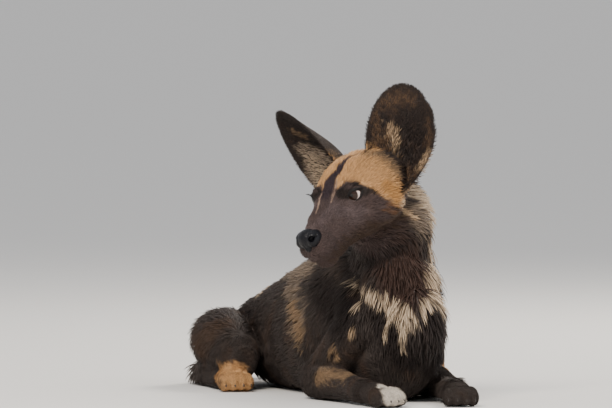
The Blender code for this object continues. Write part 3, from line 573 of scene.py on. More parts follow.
def mouth_cutter(head):
    """A thin tube along the closed lips, laid on the surface of the head."""
    surface = surface_of(head)
    right, left = ([mirrored_point(place, sign) for place in MOUTH_ROUTE] for sign in (-1, 1))
    route = list(reversed(right)) + left[1:]
    rows = [(*surface.find_nearest(point)[0], MOUTH_GIRTH, MOUTH_GIRTH) for point in route]
    mesh = bmesh.new()
    add_tube(mesh, rows, UP, steps=6, sides=8)
    return new_object("mouth_line", mesh)


# Ears

EAR_ROOT = {"left": (-0.0576, 0.0420, -0.0103), "right": (-0.0576, -0.0420, -0.0103)}
EAR_AXIS = {"left": (-0.679, -0.056, 0.730), "right": (-0.082, -0.398, 0.914)}
EAR_OPENING = {"left": (0.614, 0.672, 0.415), "right": (0.943, -0.333, -0.009)}
EAR_HEIGHT = 0.134
EAR_WIDTH = 0.0835
EAR_THICKNESS = 0.0030
EAR_INSET = 0.0004
EAR_MIDDLE = (0.009, 0.049)
EAR_CUP = 0.026
EAR_BEND = 0.012
EAR_TAPER = {"left": 0.07, "right": 0.0}
# Angles round the ear's middle where the rim is nicked
NICKS = {"left": (0.30, 0.80), "right": ()}
NICK_DEPTH = 0.05
NICK_WIDTH = 0.07


def ear_frame(side):
    """The root of an ear and its axis, its outer side's direction and its opening's."""
    root = head_point(*EAR_ROOT[side])
    axis = head_way(*EAR_AXIS[side])
    opening = head_way(*EAR_OPENING[side])
    opening = (opening - axis * opening.dot(axis)).normalized()
    outer = axis.cross(opening) * SIDES[side]
    return root, axis, -outer if outer.dot(LEFT * SIDES[side]) < 0 else outer, opening


def ear_place(side, frame, share, angle, depth):
    """A point of the ear from its middle out to the rim, at a depth behind its opening."""
    root, axis, outer, opening = frame
    reach = share
    for nick in NICKS[side]:
        reach -= NICK_DEPTH * share ** 6 * math.exp(-((angle - nick) / NICK_WIDTH) ** 2)
    across, along = math.cos(angle), math.sin(angle)
    if across > 0:
        across *= 1 - EAR_TAPER[side] * (1 - along) ** 3
    x = EAR_MIDDLE[0] + EAR_WIDTH / 2 * reach * across * (1 - 0.03 * along)
    y = EAR_MIDDLE[1] + EAR_HEIGHT / 2 * reach * along
    low = 1.5 - 1.4 * (y + 0.018) / EAR_HEIGHT
    cup = EAR_CUP * low * (1 - share ** 2.4)
    cup -= EAR_BEND * share ** 2 * (1 + math.cos(angle)) / 2 * (1 - along) / 2
    return root + outer * x + axis * y - opening * (cup + depth)


def ear(side):
    """A thin cup that is open to the front, with its root sunk in the head."""
    frame = ear_frame(side)
    mesh = bmesh.new()
    rims = []
    angles = [2 * math.pi * spoke / EAR_SPOKES for spoke in range(EAR_SPOKES)]
    for thick in (0, EAR_THICKNESS - 2 * EAR_INSET):
        rings = []
        for row in range(1, EAR_RINGS + 1):
            share = (row / EAR_RINGS) ** 0.8
            depth = EAR_INSET + thick * (1.0 - 0.45 * share ** 3)
            rings.append([mesh.verts.new(ear_place(side, frame, share * 0.995, a, depth)) for a in angles])
        pole = mesh.verts.new(ear_place(side, frame, 0, 0, EAR_INSET + thick))
        for first, second in zip(rings, rings[1:]):
            bridge(mesh, first, second)
        for spoke in range(EAR_SPOKES):
            mesh.faces.new((pole, rings[0][spoke], rings[0][(spoke + 1) % EAR_SPOKES]))
        rims.append(rings[-1])
    bridge(mesh, *rims)
    bmesh.ops.triangulate(mesh, faces=mesh.faces)
    return new_object("ear_" + side + "_form", mesh)


# How the coat lies. Head rows are in the head's axes and have a mirror image

# Place, direction of the lie, length and how far the tips stand off
HEAD_COAT = (
    ((60, 4, 3), (-1, 0.1, 0.1), 4, 0.12),
    ((46, 22, -18), (-1, 0.15, -0.1), 4.6, 0.12),
    ((60, 14, -30), (-0.9, 0.35, -0.3), 4.6, 0.15),
    ((50, 8, -50), (-0.9, 0.2, -0.4), 6, 0.18),
    ((30, 10, 9), (-1, 0.15, 0.2), 4.8, 0.12),
    ((22, 28, -6), (-1, 0.25, -0.1), 5, 0.12),
    ((0, 10, 21), (-0.95, 0.12, 0.45), 6.4, 0.14),
    ((-4, 30, 18), (-0.85, 0.4, 0.3), 6.4, 0.14),
    ((-30, 12, 32), (-1, 0.15, 0.1), 8, 0.18),
    ((-22, 46, 8), (-0.95, 0.25, 0.05), 7.4, 0.15),
    ((-10, 44, -20), (-0.9, 0.2, -0.25), 7.4, 0.15),
    ((0, 36, -45), (-0.9, 0.15, -0.35), 8.4, 0.18),
    ((-34, 56, -30), (-0.85, 0.15, -0.45), 10, 0.2),
    ((-20, 10, -60), (-0.95, 0.05, -0.2), 10, 0.2),
    ((-60, 50, -30), (-0.7, 0.05, -0.7), 14, 0.25),
    ((-70, 10, 26), (-0.95, 0.1, -0.35), 11, 0.22),
    ((-88, 10, -10), (-0.55, 0.05, -0.85), 16, 0.3),
)
# Body rows are in the dog's frame, and the paired ones also have a mirror image
PAIRED_COAT = (
    ((58, 20, 130), (0.1, 0.55, -0.8), 16, 0.14),
    ((75, 130, 100), (0.05, 0.9, -0.45), 17, 0.16),
    ((68, 160, 30), (0, 1, -0.15), 14, 0.14),
    ((70, 10, 75), (0.1, 0.55, -0.8), 11, 0.12),
    ((110, 300, 70), (0, 0.75, -0.65), 14, 0.14),
    ((85, 385, 85), (0.1, 0.8, -0.6), 16, 0.16),
    ((110, 310, 20), (0, -1, -0.1), 6, 0.09),
    ((112, 230, 22), (0.05, -1, -0.2), 4.2, 0.09),
)
BODY_COAT = (
    ((-50, -62, 185), (0.1, 0.1, -1), 16, 0.2),
    ((-20, -68, 165), (0.1, -0.05, -1), 18, 0.22),
    ((30, -55, 170), (0.1, 0, -1), 22, 0.28),
    ((46, -10, 190), (0.15, 0.25, -0.95), 26, 0.33),
    ((30, 35, 215), (0.1, 0.45, -0.9), 28, 0.37),
    ((-10, 45, 205), (0, 0.6, -0.8), 28, 0.33),
    ((-60, 0, 190), (-0.1, 0.45, -0.9), 22, 0.24),
    ((0, -85, 140), (0.05, -0.15, -1), 22, 0.19),
    ((45, -60, 130), (0.15, 0, -1), 24, 0.22),
    ((-48, -55, 130), (-0.15, 0.1, -1), 18, 0.16),
    ((20, -85, 85), (0.05, 0, -1), 24, 0.22),
    ((0, -75, 40), (0, 0.3, -0.9), 16, 0.16),
    ((0, 80, 190), (0, 1, -0.1), 20, 0.17),
    ((0, 200, 165), (0, 1, -0.15), 18, 0.16),
    ((0, 320, 130), (0, 1, -0.15), 17, 0.16),
    ((85, 60, 30), (0.05, -0.4, -0.7), 8, 0.1),
    ((-88, 56, 30), (-0.05, -0.4, -0.7), 8, 0.1),
    ((55, -30, 35), (-0.15, -1, -0.1), 6.6, 0.09),
    ((-72, -20, 35), (0.02, -1, -0.1), 6.6, 0.09),
    ((30, -140, 22), (-0.25, -1, -0.2), 4.2, 0.09),
    ((-64, -130, 22), (0.12, -1, -0.2), 4.2, 0.09),
    ((0, 410, 95), (0, 0.9, -0.4), 18, 0.17),
)
# Length and lift of the tail's coat, and how far its rows lie from the tail's middle
TAIL_COAT = (34, 0.28)
TAIL_COAT_OVER = 0.020
TAIL_COAT_BESIDE = 0.022
# How near a row alone decides the coat
COAT_BLEND = 0.004
SKIN_DEPTH_SHARE = 1.25
SKIN_DEPTH_MOST = 0.0130


def coat_rows():
    """Every row of the coat, in the dog's frame, as arrays."""
    rows = []
    for place, way, *size in HEAD_COAT:
        for sign in SIDES.values():
            turned = head_way(way[0], way[1] * sign, way[2])
            rows.append((mirrored_point(metres(place), sign), turned, size))
    for place, way, *size in PAIRED_COAT:
        for sign in SIDES.values():
            flip = Vector((sign, 1, 1))
            rows.append((Vector(metres(place)) * flip, (Vector(way) * flip).normalized(), size))
    for place, way, *size in BODY_COAT:
        rows.append((metres(place), Vector(way).normalized(), size))
    centres = [Vector(row[:3]) for row in smooth_rows(TAIL_ROWS, 2)]
    for start, end in list(zip(centres, centres[1:]))[2:]:
        way = (end - start).normalized()
        beside = way.cross(UPRIGHT) * TAIL_COAT_BESIDE
        for away in (UPRIGHT * TAIL_COAT_OVER, beside, -beside):
            rows.append(((start + end) / 2 + away, way, TAIL_COAT))
    places, ways, sizes = (np.array([row[index] for row in rows]) for index in range(3))
    return places, ways, sizes * (1 / PER_METRE, 1)


COAT_PLACES, COAT_WAYS, COAT_SIZES = coat_rows()


def coat_at(points):
    """The coat's lie, length and lift at some points."""
    way = np.zeros((len(points), 3))
    size = np.zeros((len(points), 2))
    whole = np.zeros(len(points))
    for place, heading, facts in zip(COAT_PLACES, COAT_WAYS, COAT_SIZES):
        gap = ((points - place) ** 2).sum(1)
        weight = 1 / (gap + COAT_BLEND ** 2) ** 2
        way += weight[:, None] * heading
        size += weight[:, None] * facts
        whole += weight
    return way / whole[:, None], *(size / whole[:, None]).T


# Markings, each a stroke of one colour laid along points of the coat

# Strokes with a smaller half width are moved onto the skin
NARROW_STROKE = 0.022
# How far the marks' edges wander, and the level direction that streaks run square to
MARK_WARP = 0.0022
STREAKS_FACE = (0.36, 0.93, 0.0)
# The face's own dark colour reaches from the nose to the cheeks
FACE_STROKE = metres(((70, 0, -20, 30), (30, 0, -20, 50), (-20, 0, -20, 62)))
FACE_EDGE = 0.012


NOISE_OCTAVES = 3
WAVES_PER_OCTAVE = 5
NOISE_FALL = 1.6
NOISE_SIZE = 5.28


def soft_noise(points, scale, seed):
    """A smooth field between about -1 and 1, made of waves in several directions."""
    draw = np.random.default_rng(seed)
    total = np.zeros(len(points))
    for octave in range(NOISE_OCTAVES):
        for _ in range(WAVES_PER_OCTAVE):
            way = draw.normal(size=3)
            way *= 2 ** octave / (np.linalg.norm(way) * scale)
            phase = draw.uniform(0, 2 * math.pi)
            total += np.sin(points @ way * 2 * math.pi + phase) / NOISE_FALL ** octave
    return total / NOISE_SIZE


def noise_ways(points, scale, seeds):
    """Small directions that change smoothly from place to place."""
    return np.stack([soft_noise(points, scale, seed) for seed in seeds], 1)


def laid_over(colour, tint, share):
    """Colours with a tint laid over them, in a share for each."""
    share = share[:, None]
    return colour * (1 - share) + np.array(tint) * share


def depth_in_stroke(points, route):
    """How far inside a tapered stroke some points are. A stroke's stop is x, y, z, half width."""
    deepest = np.full(len(points), -9.0)
    stops = [np.array(stop) for stop in route]
    if len(stops) == 1:
        stops = stops * 2
    for start, end in zip(stops, stops[1:]):
        run = end[:3] - start[:3]
        share = np.clip((points - start[:3]) @ run / max(run @ run, 1e-12), 0, 1)
        gap = np.linalg.norm(points - start[:3] - share[:, None] * run, axis=1)
        deepest = np.maximum(deepest, start[3] + (end[3] - start[3]) * share - gap)
    return deepest


# Colour, softness of the edge, streakiness and the stroke's stops, painted in this order.
# A stop is a place and a half width
BODY_MARKS = (
    # Throat and front of the neck, dark under the jaw and below the band
    (THROAT, 20, 0.4, ((-30, -66, 180, 30), (-18, -74, 155, 34), (-10, -84, 132, 28))),
    (BLACK, 16, 0.7, ((-41, -40, 165, 8), (-30, -58, 176, 10), (-12, -68, 185, 6))),
    (BLACK, 16, 0.5, ((-48, -68, 96, 18), (-34, -84, 78, 22), (-14, -94, 56, 24))),
    # Nape, mottled in front and pale at its edge and behind
    (ASH, 12, 1, ((-8, -72, 232, 10), (5, -70, 221, 14), (14, -66, 204, 10))),
    (CREAM, 10, 0.8, ((3, -58, 252, 12), (16, -56, 242, 15), (30, -46, 230, 17), (36, -42, 216, 16),
                      (38, -36, 200, 14), (36, -44, 182, 10), (37, -36, 165, 11))),
    (CREAM, 10, 0.6, ((30, 20, 232, 20), (24, 46, 206, 18), (10, 75, 196, 10))),
    # Pale patch at the left of the neck's base
    (CREAM, 8, 0.8, ((32, -52, 160, 10), (29, -68, 146, 14), (30, -78, 132, 14), (30, -84, 118, 12),
                     (24, -100, 107, 8))),
    # Chest band and its hanging locks
    (CREAM, 5, 0.7, ((-56, 1, 141, 2.6), (-55, -15, 136, 3.2), (-56, -43, 131, 3.6), (-48, -50, 126, 4.8),
                     (-43, -64, 120, 6.2), (-36, -72, 116, 7.4), (-30, -86, 112, 8.4), (-24, -94, 106, 9.6),
                     (-18, -102, 100, 9))),
    (CREAM, 5, 1, ((-22, -96, 100, 10), (-23, -96, 88, 8), (-21, -93, 78, 5), (-19, -88, 66, 2.6))),
    (CREAM, 4, 1, ((-36, -80, 102, 4), (-37, -75, 90, 3), (-34, -67, 76, 2.4))),
    (CREAM, 4, 1, ((-14, -105, 100, 4), (-13, -105, 88, 2.6))),
    # Left shoulder, black with a pale outline
    (CREAM, 5, 0.6, ((26, -92, 118, 6), (10, -100, 119, 6), (0, -104, 112, 5), (-3, -106, 103, 3.5))),
    (BLACK, 6, 0.5, ((9, -107, 106, 8), (11, -109, 97, 12), (15, -106, 85, 16), (22, -100, 66, 18),
                     (34, -80, 45, 18))),
    (CREAM, 6, 0.6, ((66, -10, 110, 10), (70, 16, 85, 10))),
    (OCHRE, 10, 0.8, ((78, 40, 120, 12), (80, 50, 80, 10))),
    # Right shoulder and upper arm
    (BLACK, 16, 0.4, ((-64, 78, 135, 18), (-66, 30, 115, 26), (-68, -10, 100, 26))),
    (CREAM, 4, 0.6, ((-59, -33, 112, 4.2),)),
    (SAND, 5, 0.6, ((-64, -34, 83, 4.6),)),
    (OCHRE, 6, 0.7, ((-76, -6, 55, 9),)),
    (BLACK, 4, 0.5, ((-78, -5, 52, 5),)),
    # Back and right side behind the shoulder
    (ASH, 16, 0.9, ((-40, 235, 150, 12), (-55, 180, 146, 18), (-56, 125, 152, 16))),
    (ASH, 22, 1, ((-64, 172, 134, 17), (-74, 138, 112, 23), (-76, 122, 90, 20))),
    (OCHRE, 16, 1, ((-70, 152, 118, 8), (-76, 132, 100, 14), (-76, 116, 72, 13))),
    (CREAM, 8, 0.7, ((-40, 335, 122, 12), (-24, 352, 124, 10))),
    (UMBER, 20, 0.5, ((-112, 300, 74, 22), (-114, 335, 50, 20))),
    (OCHRE, 10, 0.8, ((20, 262, 160, 20), (44, 238, 146, 16))),
    # Left side, unseen in the photograph
    (WHITE, 6, 0.8, ((70, 104, 120, 7), (76, 122, 106, 13), (80, 144, 88, 10), (81, 150, 66, 5))),
    (WHITE, 6, 0.8, ((79, 136, 94, 7), (80, 160, 90, 6), (80, 178, 76, 3))),
    (OCHRE, 10, 0.9, ((62, 178, 136, 12), (72, 202, 118, 20), (80, 222, 94, 12), (84, 240, 74, 8))),
    (OCHRE, 10, 0.9, ((74, 214, 110, 10), (80, 246, 106, 8), (84, 262, 92, 4))),
    (TAN, 9, 0.8, ((98, 282, 100, 8), (106, 302, 82, 14), (116, 326, 60, 11), (116, 350, 44, 6))),
    (WHITE, 6, 0.8, ((90, 374, 82, 5), (100, 380, 70, 10), (108, 366, 56, 4))),
    # Forelegs and paws
    (WHITE, 5, 0.4, ((-62, -132, 18, 11), (-56, -152, 12, 16))),
    (OCHRE, 14, 0.8, ((-78, 10, 28, 10), (-72, -45, 26, 6))),
    (TAN, 7, 0.6, ((78, 30, 34, 14), (62, -20, 28, 10))),
    (WHITE, 5, 0.4, ((108, 262, 16, 14), (112, 224, 12, 18))),
    (TAN, 10, 0.4, ((-108, 262, 16, 10), (-112, 224, 14, 22))),
    # Tail: tan root, black ring and white brush
    (OCHRE, 10, 0.7, ((0, 430, 70, 30), (14, 474, 44, 30))),
    (WHITE, 12, 0.6, ((118, 480, 24, 34), (152, 440, 24, 42), (162, 390, 20, 44), (162, 350, 18, 40))),
)
# The same in the head's own axes: forward, left and up from the middle of the eyes
HEAD_MARKS = (
    # Painted highlight along the top of the muzzle, painted shade on the darker jaw and cheek
    (MUZZLE_HIGHLIGHT, 20, 0.5, ((48, 6, 4, 6), (24, 14, 2, 8), (6, 30, -14, 10))),
    # Painted shade under the jaw and the back of the cheek
    (UMBER, 24, 0.4, ((52, 12, -40, 10), (10, 22, -56, 16), (-34, 44, -52, 20))),
    # Golden forehead and brow, narrowing to a line behind the cheek
    (TAN, 6, 0.6, (
        (0, 10, 19, 2), (-14, 13, 23, 9), (-30, 18, 29, 17), (-52, 14, 30, 16), (-72, 10, 22, 12),
    )),
    (OCHRE, 12, 0.7, ((-50, 34, 20, 22), (-52, 46, 4, 20))),
    (TAN, 12, 0.8, ((-42, 26, 26, 15), (-44, 38, 18, 14), (-46, 48, 4, 12), (-48, 52, -10, 10))),
    (TAN, 6, 0.6, ((-26, 26, 25, 16), (-31, 38, 18, 18), (-34, 47, 5, 18), (-36, 53, -8, 16),
                   (-38, 56, -18, 13))),
    (GOLD, 5, 0.7, ((-34, 52, -6, 9), (-38, 56, -20, 10), (-43, 55, -34, 7.5))),
    (SAND, 3, 0.5, ((-43, 55, -34, 5), (-51, 51, -50, 3), (-58, 50, -66, 1.8))),
    # Dark skin and hair round the eye, drawn out towards the nose
    (BLACK, 4, 0.3, ((6, 17, 10, 4.6), (-2, 29, 8, 8.2), (-12, 39, 3, 5.6))),
    (BLACK, 3, 0.3, ((4, 14, 15, 2.6), (-3, 22, 16, 2.4), (-9, 33, 12, 2.6), (-15, 41, 5, 2.6),
                     (-18, 48, -4, 1.8))),
    (RUST, 8, 0.8, ((-18, 56, -23, 3), (-29, 54, -38, 3))),
)
MIDLINE_MARKS = (
    # Black stripe up the forehead and the pale lines beside it
    (SOOT, 2.5, 0.2, ((-51, 3, 31, 2.2), (-40, 1, 32, 4), (-28, 0, 29, 5.8), (-18, -3, 25, 7.2),
                      (-7, -6, 21, 8.4), (6, -4, 16, 8.8), (20, 1, 12, 8))),
    (PLUM, 10, 0.3, ((24, 0, 11, 9), (44, 0, 7, 8))),
    (BLACK, 3, 0.6, ((-50, 4, 32, 1.6), (-56, 10, 31, 1.3), (-62, 18, 29, 1.2))),
    (ROSE, 2.2, 0.6, ((-10, 6.5, 22, 1.3), (0, 8.5, 18, 1.6), (10, 11, 14, 1.3), (19, 12.5, 10, 0.6))),
    (ROSE, 2.2, 0.6, ((6, -10, 16, 1.3), (13, -9, 14, 1.5), (26, -4, 11, 1), (38, 0, 8, 0.6))),
)


def laid_on(tree, marks, to_body, from_body):
    """The marks with the stops of their narrow strokes moved onto the skin."""
    laid = []
    for tint, edge, streaky, stroke in marks:
        stops = []
        for x, y, z, half in metres(stroke):
            if half < NARROW_STROKE:
                x, y, z = from_body(tree.find_nearest(to_body(x, y, z))[0])
            stops.append((x, y, z, half))
        laid.append((tint, metres(edge), streaky, stops))
    return laid


def lay_marks(skin):
    """Every list of marks, laid on the skin."""
    tree = surface_of(skin)

    def in_head(point):
        away = point - MID_EYES
        return away.dot(FORWARD), away.dot(LEFT), away.dot(UP)

    return {
        "body": laid_on(tree, BODY_MARKS, lambda *place: Vector(place), tuple),
        "head": laid_on(tree, HEAD_MARKS, head_point, in_head),
        "midline": laid_on(tree, MIDLINE_MARKS, head_point, in_head),
    }


def add_marks(colour, places, marks, grain, streaks):
    """Paint the strokes of a list over the colours."""
    for tint, edge, streaky, stroke in marks:
        depth = depth_in_stroke(places, stroke)
        rough = grain * (1 - streaky) + streaks * streaky
        share = np.clip(depth / edge + 0.5 + rough * (0.35 + 0.45 * streaky), 0, 1)
        colour = laid_over(colour, tint, share * share * (3 - 2 * share))
    return colour


def paint_at(points):
    """The coat's colour at some points of the dog's frame."""
    warp = noise_ways(points, 0.050, (1, 2, 3)) * MARK_WARP
    in_head = (points + warp * 0.4 - np.array(MID_EYES)) @ HEAD_TURN.T
    mirrored = in_head * (1, 0, 1) + np.abs(in_head) * (0, 1, 0)
    across = np.cross(unit(coat_at(points)[0]), STREAKS_FACE)
    lanes = np.stack([(points * unit(across)).sum(1), points[:, 2] * 0.25, points[:, 1] * 0.3], 1)
    grain = soft_noise(points, 0.010, 9)
    streaks = soft_noise(lanes, 0.008, 8)
    colour = np.tile(np.array(SMOKE), (len(points), 1))
    brown = np.clip(soft_noise(points, 0.055, 12) * 1.2 - 0.1, 0, 1)
    colour = laid_over(colour, UMBER, brown * 0.7)
    colour = add_marks(colour, points + warp, MARKS["body"], grain, streaks)
    face = np.clip(depth_in_stroke(in_head, FACE_STROKE) / FACE_EDGE + 0.5, 0, 1)
    colour = laid_over(colour, PLUM, face)
    colour = add_marks(colour, mirrored, MARKS["head"], grain, streaks)
    return add_marks(colour, in_head, MARKS["midline"], grain, streaks)


# Skin

# Hollows in front of the eye and beside the muzzle: middle, reach, what they sink towards and depth
HOLLOWS = metres((((16, 33, 2), 17, (0, 0, -20), 3.5), ((40, 23, -6), 18, (30, 0, -20), 2)))
# The dip along the middle of the forehead
FURROW = metres(((-20, 0, 27), (-2, 0, 21)))
FURROW_REACH = 0.016
FURROW_DEPTH = 0.0018
# The least height of the skin over the floor
SKIN_CLEAR = 0.0004


def skin_depth(points):
    """How deep the skin lies under the tips of the coat."""
    _, length, lift = coat_at(points)
    return np.minimum(length * lift * SKIN_DEPTH_SHARE, SKIN_DEPTH_MOST)


def make_skin():
    """The whole animal under its coat, without its ears."""
    mesh = bmesh.new()
    add_body_forms(mesh)
    add_head_forms(mesh)
    skin = new_object("skin", mesh)
    merge_forms(skin, SKIN_VOXEL, 4)
    for place, reach, target, depth in HOLLOWS:
        for sign in SIDES.values():
            point = mirrored_point(place, sign)
            push_out(skin, point, reach, (head_point(*target) - point).normalized() * depth)
    for place in FURROW:
        push_out(skin, head_point(*place), FURROW_REACH, -UP * FURROW_DEPTH)
    points, normals = points_of(skin)
    sunk = points - normals * skin_depth(points)[:, None]
    sunk[:, 2] = np.maximum(sunk[:, 2], SKIN_CLEAR)
    set_points(skin, sunk)
    combine(skin, mouth_cutter(skin), "DIFFERENCE")
    for side in SIDES:
        combine(skin, eye_opening(side), "DIFFERENCE")
    return skin


# Tufts

def triangles_of(item):
    """An object's triangles: their corners' places and outward directions, and their areas."""
    item.data.calc_loop_triangles()
    count = len(item.data.loop_triangles)
    corners = np.empty(count * 3, dtype=np.int64)
    item.data.loop_triangles.foreach_get("vertices", corners)
    corners = corners.reshape(-1, 3)
    points, normals = points_of(item)
    a, b, c = (points[corners[:, index]] for index in range(3))
    area = np.linalg.norm(np.cross(b - a, c - a), axis=1) / 2
    return points[corners], normals[corners], area


def scatter(item, density, draw):
    """Roots spread over an object's surface, each with its outward direction."""
    corners, normals, area = triangles_of(item)
    wanted = area * density(corners.mean(1), normals.mean(1))
    total = wanted.cumsum()
    picks = np.searchsorted(total, (np.arange(int(total[-1])) + draw.random(int(total[-1]))))
    picks = np.minimum(picks, len(total) - 1)
    a, b = draw.random(len(picks)), draw.random(len(picks))
    over = a + b > 1
    a[over], b[over] = 1 - a[over], 1 - b[over]
    shares = np.stack([1 - a - b, a, b], 1)[:, :, None]
    roots = (corners[picks] * shares).sum(1)
    outward = (normals[picks] * shares).sum(1)
    return roots, outward / np.linalg.norm(outward, axis=1, keepdims=True)


def unit(ways):
    """Directions brought to length one."""
    return ways / np.maximum(np.linalg.norm(ways, axis=1, keepdims=True), 1e-9)


# Along a tuft: shares of its length and width. Short tufts leave out the middle section
LONG_TUFT = ((0.0, 0.70), (0.38, 1.0), (0.74, 0.62))
SHORT_TUFT = ((0.0, 0.80), (0.50, 1.0))
LONG_TUFT_LENGTH = 0.0115
TUFT_BULGE = 1.15
TUFT_HALF = 0.5
TUFT_THICKNESS = 0.34
TUFT_IN_PATCH = 0.45
# Painted shade darkens a tuft towards its root and painted light brightens it towards the tip, as factors
# of its colour
ROOT_SHADE = 0.70
ROOT_TO_TIP_LIGHT_GAIN = 0.40
TIP_LIGHT = 1.14
ROOT_SINK = 0.0006
FLOOR_CLEAR = 0.0003


def tuft_faces(rows):
    """The triangles of one tuft with three corners in each section and one at the tip."""
    faces = []
    for band in range(0, 3 * (rows - 1), 3):
        for a, b in ((0, 1), (1, 2), (2, 0)):
            faces.append((band + a, band + b, band + 3 + b))
            faces.append((band + a, band + 3 + b, band + 3 + a))
    last = 3 * (rows - 1)
    tip = 3 * rows
    faces += [(last, last + 1, tip), (last + 1, last + 2, tip), (last + 2, last, tip), (2, 1, 0)]
    return np.array(faces)


def tuft_arrays(tufts, sections):
    """The corners, their colours with painted shade at the roots and painted light at the tips, their
    places in the patch and the triangles of some tufts.
    """
    roots, outward, way, length, width, rise, colours = (tufts[key] for key in TUFT_KEYS)
    count = len(roots)
    corners = 3 * len(sections) + 1
    side = np.cross(way, outward)
    verts = np.empty((count, corners, 3))
    tints = np.empty((count, corners, 3))
    flat = np.empty((corners, 2))
    for row, (share, girth) in enumerate(sections):
        height = rise * ((1 + TUFT_BULGE) * share - TUFT_BULGE * share * share) - ROOT_SINK * (share == 0)
        centre = roots + way * (length * share)[:, None] + outward * height[:, None]
        across = side * (width * girth * TUFT_HALF)[:, None]
        over = outward * (width * girth * TUFT_THICKNESS)[:, None]
        for column, place in enumerate((centre + across, centre + over, centre - across)):
            verts[:, row * 3 + column] = place
            flat[row * 3 + column] = (0.5 + (1 - column) * TUFT_IN_PATCH * girth, share)
        # Painted shade at the root, growing lighter along the tuft
        tints[:, row * 3:row * 3 + 3] = (colours * (ROOT_SHADE + ROOT_TO_TIP_LIGHT_GAIN * share))[:, None, :]
    verts[:, -1] = roots + way * length[:, None] + outward * rise[:, None]
    verts[:, :, 2] = np.maximum(verts[:, :, 2], FLOOR_CLEAR)
    # Painted light at the tip
    tints[:, -1] = colours * TIP_LIGHT
    flat[-1] = (0.5, 1.0)
    faces = tuft_faces(len(sections))
    loops = (faces[None] + np.arange(count)[:, None, None] * corners).ravel()
    patches = UNWRAP.places(roots)[:, None, :] + (flat[None] - 0.5) * PATCH
    return verts.reshape(-1, 3), tints.reshape(-1, 3), patches.reshape(-1, 2), loops


TUFT_KEYS = ("roots", "outward", "way", "length", "width", "rise", "colours")


def tuft_mesh(name, tufts):
    """One joined mesh of many tapered tufts, with their colours and places on the skin's unwrap."""
    long = tufts["length"] > LONG_TUFT_LENGTH
    parts = []
    for chosen, sections in ((long, LONG_TUFT), (~long, SHORT_TUFT)):
        if chosen.any():
            parts.append(tuft_arrays({key: tufts[key][chosen] for key in TUFT_KEYS}, sections))
    shift, loops = 0, []
    for verts, _, _, own in parts:
        loops.append(own + shift)
        shift += len(verts)
    verts, tints, patches = (np.concatenate([part[index] for part in parts]) for index in range(3))
    loops = np.concatenate(loops)
    data = bpy.data.meshes.new(name)
    data.vertices.add(len(verts))
    data.vertices.foreach_set("co", verts.ravel())
    data.loops.add(len(loops))
    data.loops.foreach_set("vertex_index", loops)
    data.polygons.add(len(loops) // 3)
    data.polygons.foreach_set("loop_start", np.arange(0, len(loops), 3))
    data.update(calc_edges=True)
    data.polygons.foreach_set("use_smooth", np.ones(len(data.polygons), dtype=bool))
    layer = data.uv_layers.new(name="OFBake")
    layer.data.foreach_set("uv", patches[loops].ravel())
    item = place_object(name, data)
    paint_mesh(item, tints)
    return item


class Unwrap:
    """A coarse copy of the skin with an unwrap, from which each tuft takes its root's place."""

    def __init__(self, skin, faces):
        item = place_object("unwrap_form", skin.data.copy())
        split = item.modifiers.new("split", "TRIANGULATE")
        split.quad_method = "SHORTEST_DIAGONAL"
        fewer = item.modifiers.new("fewer", "DECIMATE")
        fewer.ratio = faces / max(len(skin.data.polygons) * 2, 1)
        apply_modifiers(item)
        bpy.context.view_layer.objects.active = item
        item.select_set(True)
        bpy.ops.object.mode_set(mode="EDIT")
        bpy.ops.mesh.select_all(action="SELECT")
        bpy.ops.uv.smart_project(angle_limit=math.radians(66), island_margin=0.004)
        bpy.ops.object.mode_set(mode="OBJECT")
        data = item.data
        self.surface = surface_of(item)
        corners = np.array([face.vertices[:] for face in data.polygons])
        places = np.array([vertex.co[:] for vertex in data.vertices])
        layer = np.empty(len(data.loops) * 2)
        data.uv_layers.active.data.foreach_get("uv", layer)
        starts = np.array([face.loop_start for face in data.polygons])
        layer = layer.reshape(-1, 2)
        self.corners = places[corners]
        self.flat = np.stack([layer[starts], layer[starts + 1], layer[starts + 2]], 1)
        bpy.data.objects.remove(item)

    def places(self, roots):
        """The place of each root on the unwrap."""
        picks = np.array([self.surface.find_nearest(Vector(root))[2] for root in roots])
        a, b, c = (self.corners[picks, index] for index in range(3))
        v0, v1, v2 = b - a, c - a, roots - a
        d00, d01, d11 = (v0 * v0).sum(1), (v0 * v1).sum(1), (v1 * v1).sum(1)
        d20, d21 = (v2 * v0).sum(1), (v2 * v1).sum(1)
        whole = np.maximum(d00 * d11 - d01 * d01, 1e-16)
        second = np.clip((d11 * d20 - d01 * d21) / whole, 0, 1)
        third = np.clip((d00 * d21 - d01 * d20) / whole, 0, 1 - second)
        shares = np.stack([1 - second - third, second, third], 1)
        return (self.flat[picks] * shares[:, :, None]).sum(1)


def coat_pieces(name, tufts):
    """The meshes of a coat, each with few enough tufts."""
    count = len(tufts["roots"])
    pieces = math.ceil(count / TUFTS_PER_PIECE)
    edges = np.linspace(0, count, pieces + 1).astype(int)
    return [tuft_mesh(f"{name}_{index + 1}", {key: value[a:b] for key, value in tufts.items()})
            for index, (a, b) in enumerate(zip(edges, edges[1:]))]


def vary(draw, count, spread):
    """Factors round one, mostly within a spread."""
    return np.clip(draw.normal(1, spread, count), 1 - 2 * spread, 1 + 2 * spread)


def comb(roots, outward, way, draw, flow, stray):
    """The tufts' directions along the skin, drawn together into locks and a little apart."""
    wide = noise_ways(roots, 0.030, (21, 22, 23))
    narrow = noise_ways(roots, 0.009, (24, 25, 26))
    way = unit(way) + wide * 0.16 + narrow * flow + draw.normal(0, stray, roots.shape)
    return unit(way - outward * (way * outward).sum(1)[:, None])


# A tuft's width as a share of its length, and the least and the most width
TUFT_SLIMNESS = 0.085
TUFT_WIDTHS = (0.00055, 0.0021)
TUFT_LENGTHENING = 1.15
LUMPS = 0.30
# The coat is thin where the animal rests on the floor
UNDER_FACING = -0.6
UNDER_HEIGHT = 0.006
UNDER_COVER = 0.05


def tuft_width(length):
    """Short tufts are finer than long ones."""
    return np.clip(length * TUFT_SLIMNESS, *TUFT_WIDTHS)


